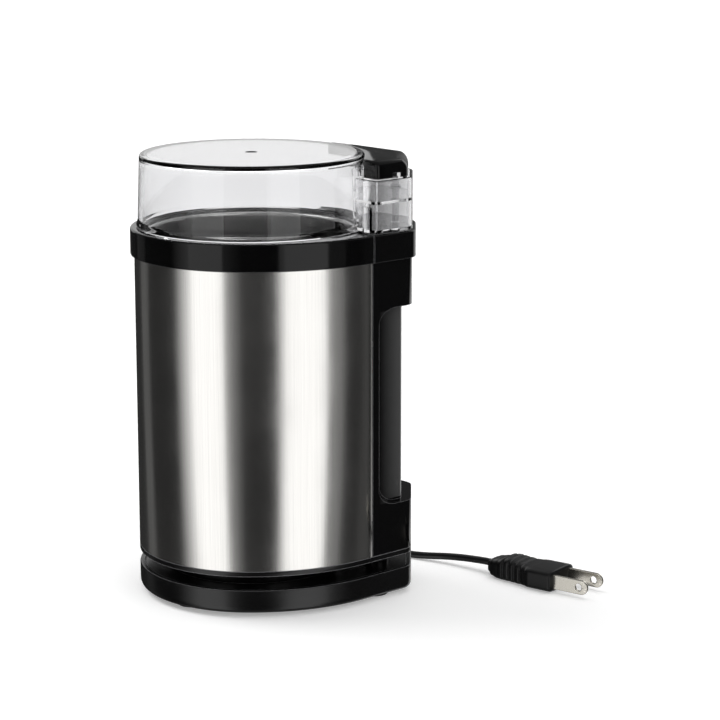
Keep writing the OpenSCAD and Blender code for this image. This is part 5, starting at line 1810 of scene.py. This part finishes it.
        bend = arc(MIDDLE, flank, OUTLINE.angle, math.asin(y_end / flank), flank_steps)
        loop += [(OUTLINE.shift - x, y, fall_end if k == flank_steps else fall_side)
                 for k, (x, y) in enumerate(bend)]
        radii += [0.0] * (len(loop) - len(radii) - 1) + [corners[3]]
        return fillet(loop, radii, steps=6)

    def bar_top(self, y: float) -> float:
        """Height of the press bar's top, which falls a little to the tail."""
        return self.top - self.bar_drop - self.bar_slope * (y - self.bar_level_y)

    def press_bar(self) -> bpy.types.Object:
        """Black bar with rounded shoulders, hollow below, with lugs, finger and leg.

        Returns:
            The linked bar.
        """
        rows = []
        for degrees in self.shoulder_angles:
            s, c = math.sin(math.radians(degrees)), math.cos(math.radians(degrees))
            plan = self.bar_plan([r * (1 - c) for r in self.shoulders],
                                 [r * (1 - s) for r in self.shoulders], self.bar_corners)
            rows.append([place((x, y), self.bar_top(y) - fall) for x, y, fall in plan])
        foot = self.bar_plan([0.0] * 4, self.shoulders, self.bar_corners)
        rows.append([place((x, y), self.bar_low) for x, y, _ in foot])
        bar = mesh_from_rows("bar_moulding", rows, caps=True)
        combine(bar, Shaping.CUT, self.bar_rooms())
        joined = self.bar_under + 0.1
        y, root = self.pin[0], self.bar_lug_root
        eye = arc(self.pin, self.ear_r, math.radians(150), math.radians(390), 20)
        lugs = [cross_plate("lug", x, [(y + root, joined), (y - root, joined), *eye])
                for x in both_sides(*self.bar_lug_x)]
        combine(bar, Shaping.ADD, [*lugs, block("finger", *self.finger, (self.finger_low, joined)),
                                   block("leg", *self.leg)])
        return combine(bar, Shaping.CUT, [self.pin_bore()], self.sharp)

    def bar_rooms(self) -> list[bpy.types.Object]:
        """Solids that hollow the bar: under the wing, over the cup, round the pin and sides.

        Returns:
            The solids to cut away.
        """
        low, under = self.bar_low - 1, self.bar_under
        (end, side), front = self.wing_under
        rise = math.tan(OUTLINE.angle)
        tip = self.wedge_y + self.cheek_inset / math.cos(OUTLINE.angle)
        wing = [(side, front), (side, tip - side * rise), (end, tip - end * rise), (end, front)]
        room = [(x, y) for x, y, _ in self.bar_plan(self.room_insets, [0.0] * 4,
                                                    self.room_corners, self.room_nose)]
        rooms = [prism("wing_under", wing, low, self.bar_low + self.wing_sheet),
                 prism("room", room, low, under),
                 post("cup_way", MIDDLE, self.cup_way_r, low, under, ROUND_STEPS),
                 block("pin_room", *self.pin_room, (low, under))]
        notch_x, notch_y = self.notch
        rooms += [block("notch", x, notch_y, (low, self.bar_low + self.notch_rise))
                  for x in both_sides(*notch_x)]
        return rooms

    def build(self, wardrobe: Wardrobe) -> None:
        """Make the lid and its bar, and dress the small parts on them.

        Args:
            wardrobe: The built materials, which dress the pieces.
        """
        wardrobe.dress(self.shell(), "clear_plastic", "lid", "lid_shell")
        wardrobe.dress(self.press_bar(), "gloss_black", "lever", "press_bar")
        for node, edge in (("lid_pusher", 0.25), ("hinge_pin", 0.2), ("bar_spring", 0.0)):
            wardrobe.dress_node(node, edge)


def main() -> None:
    """Build every sub-assembly in order and report its pieces."""
    logging.basicConfig(level=logging.INFO)
    bpy.context.scene.view_settings.view_transform = "Standard"
    View().build()
    wardrobe = Wardrobe()
    parts: tuple[SubAssembly, ...] = (MainsCord(), Housing(), Insides(), Lid())
    for part in parts:
        reported = len(wardrobe.pieces)
        part.build(wardrobe)
        for piece in wardrobe.pieces[reported:]:
            LOG.info("%s: made %s", type(part).__name__, piece)
    Studio().build()
    LOG.info("made the studio")


if __name__ == "__main__":
    main()
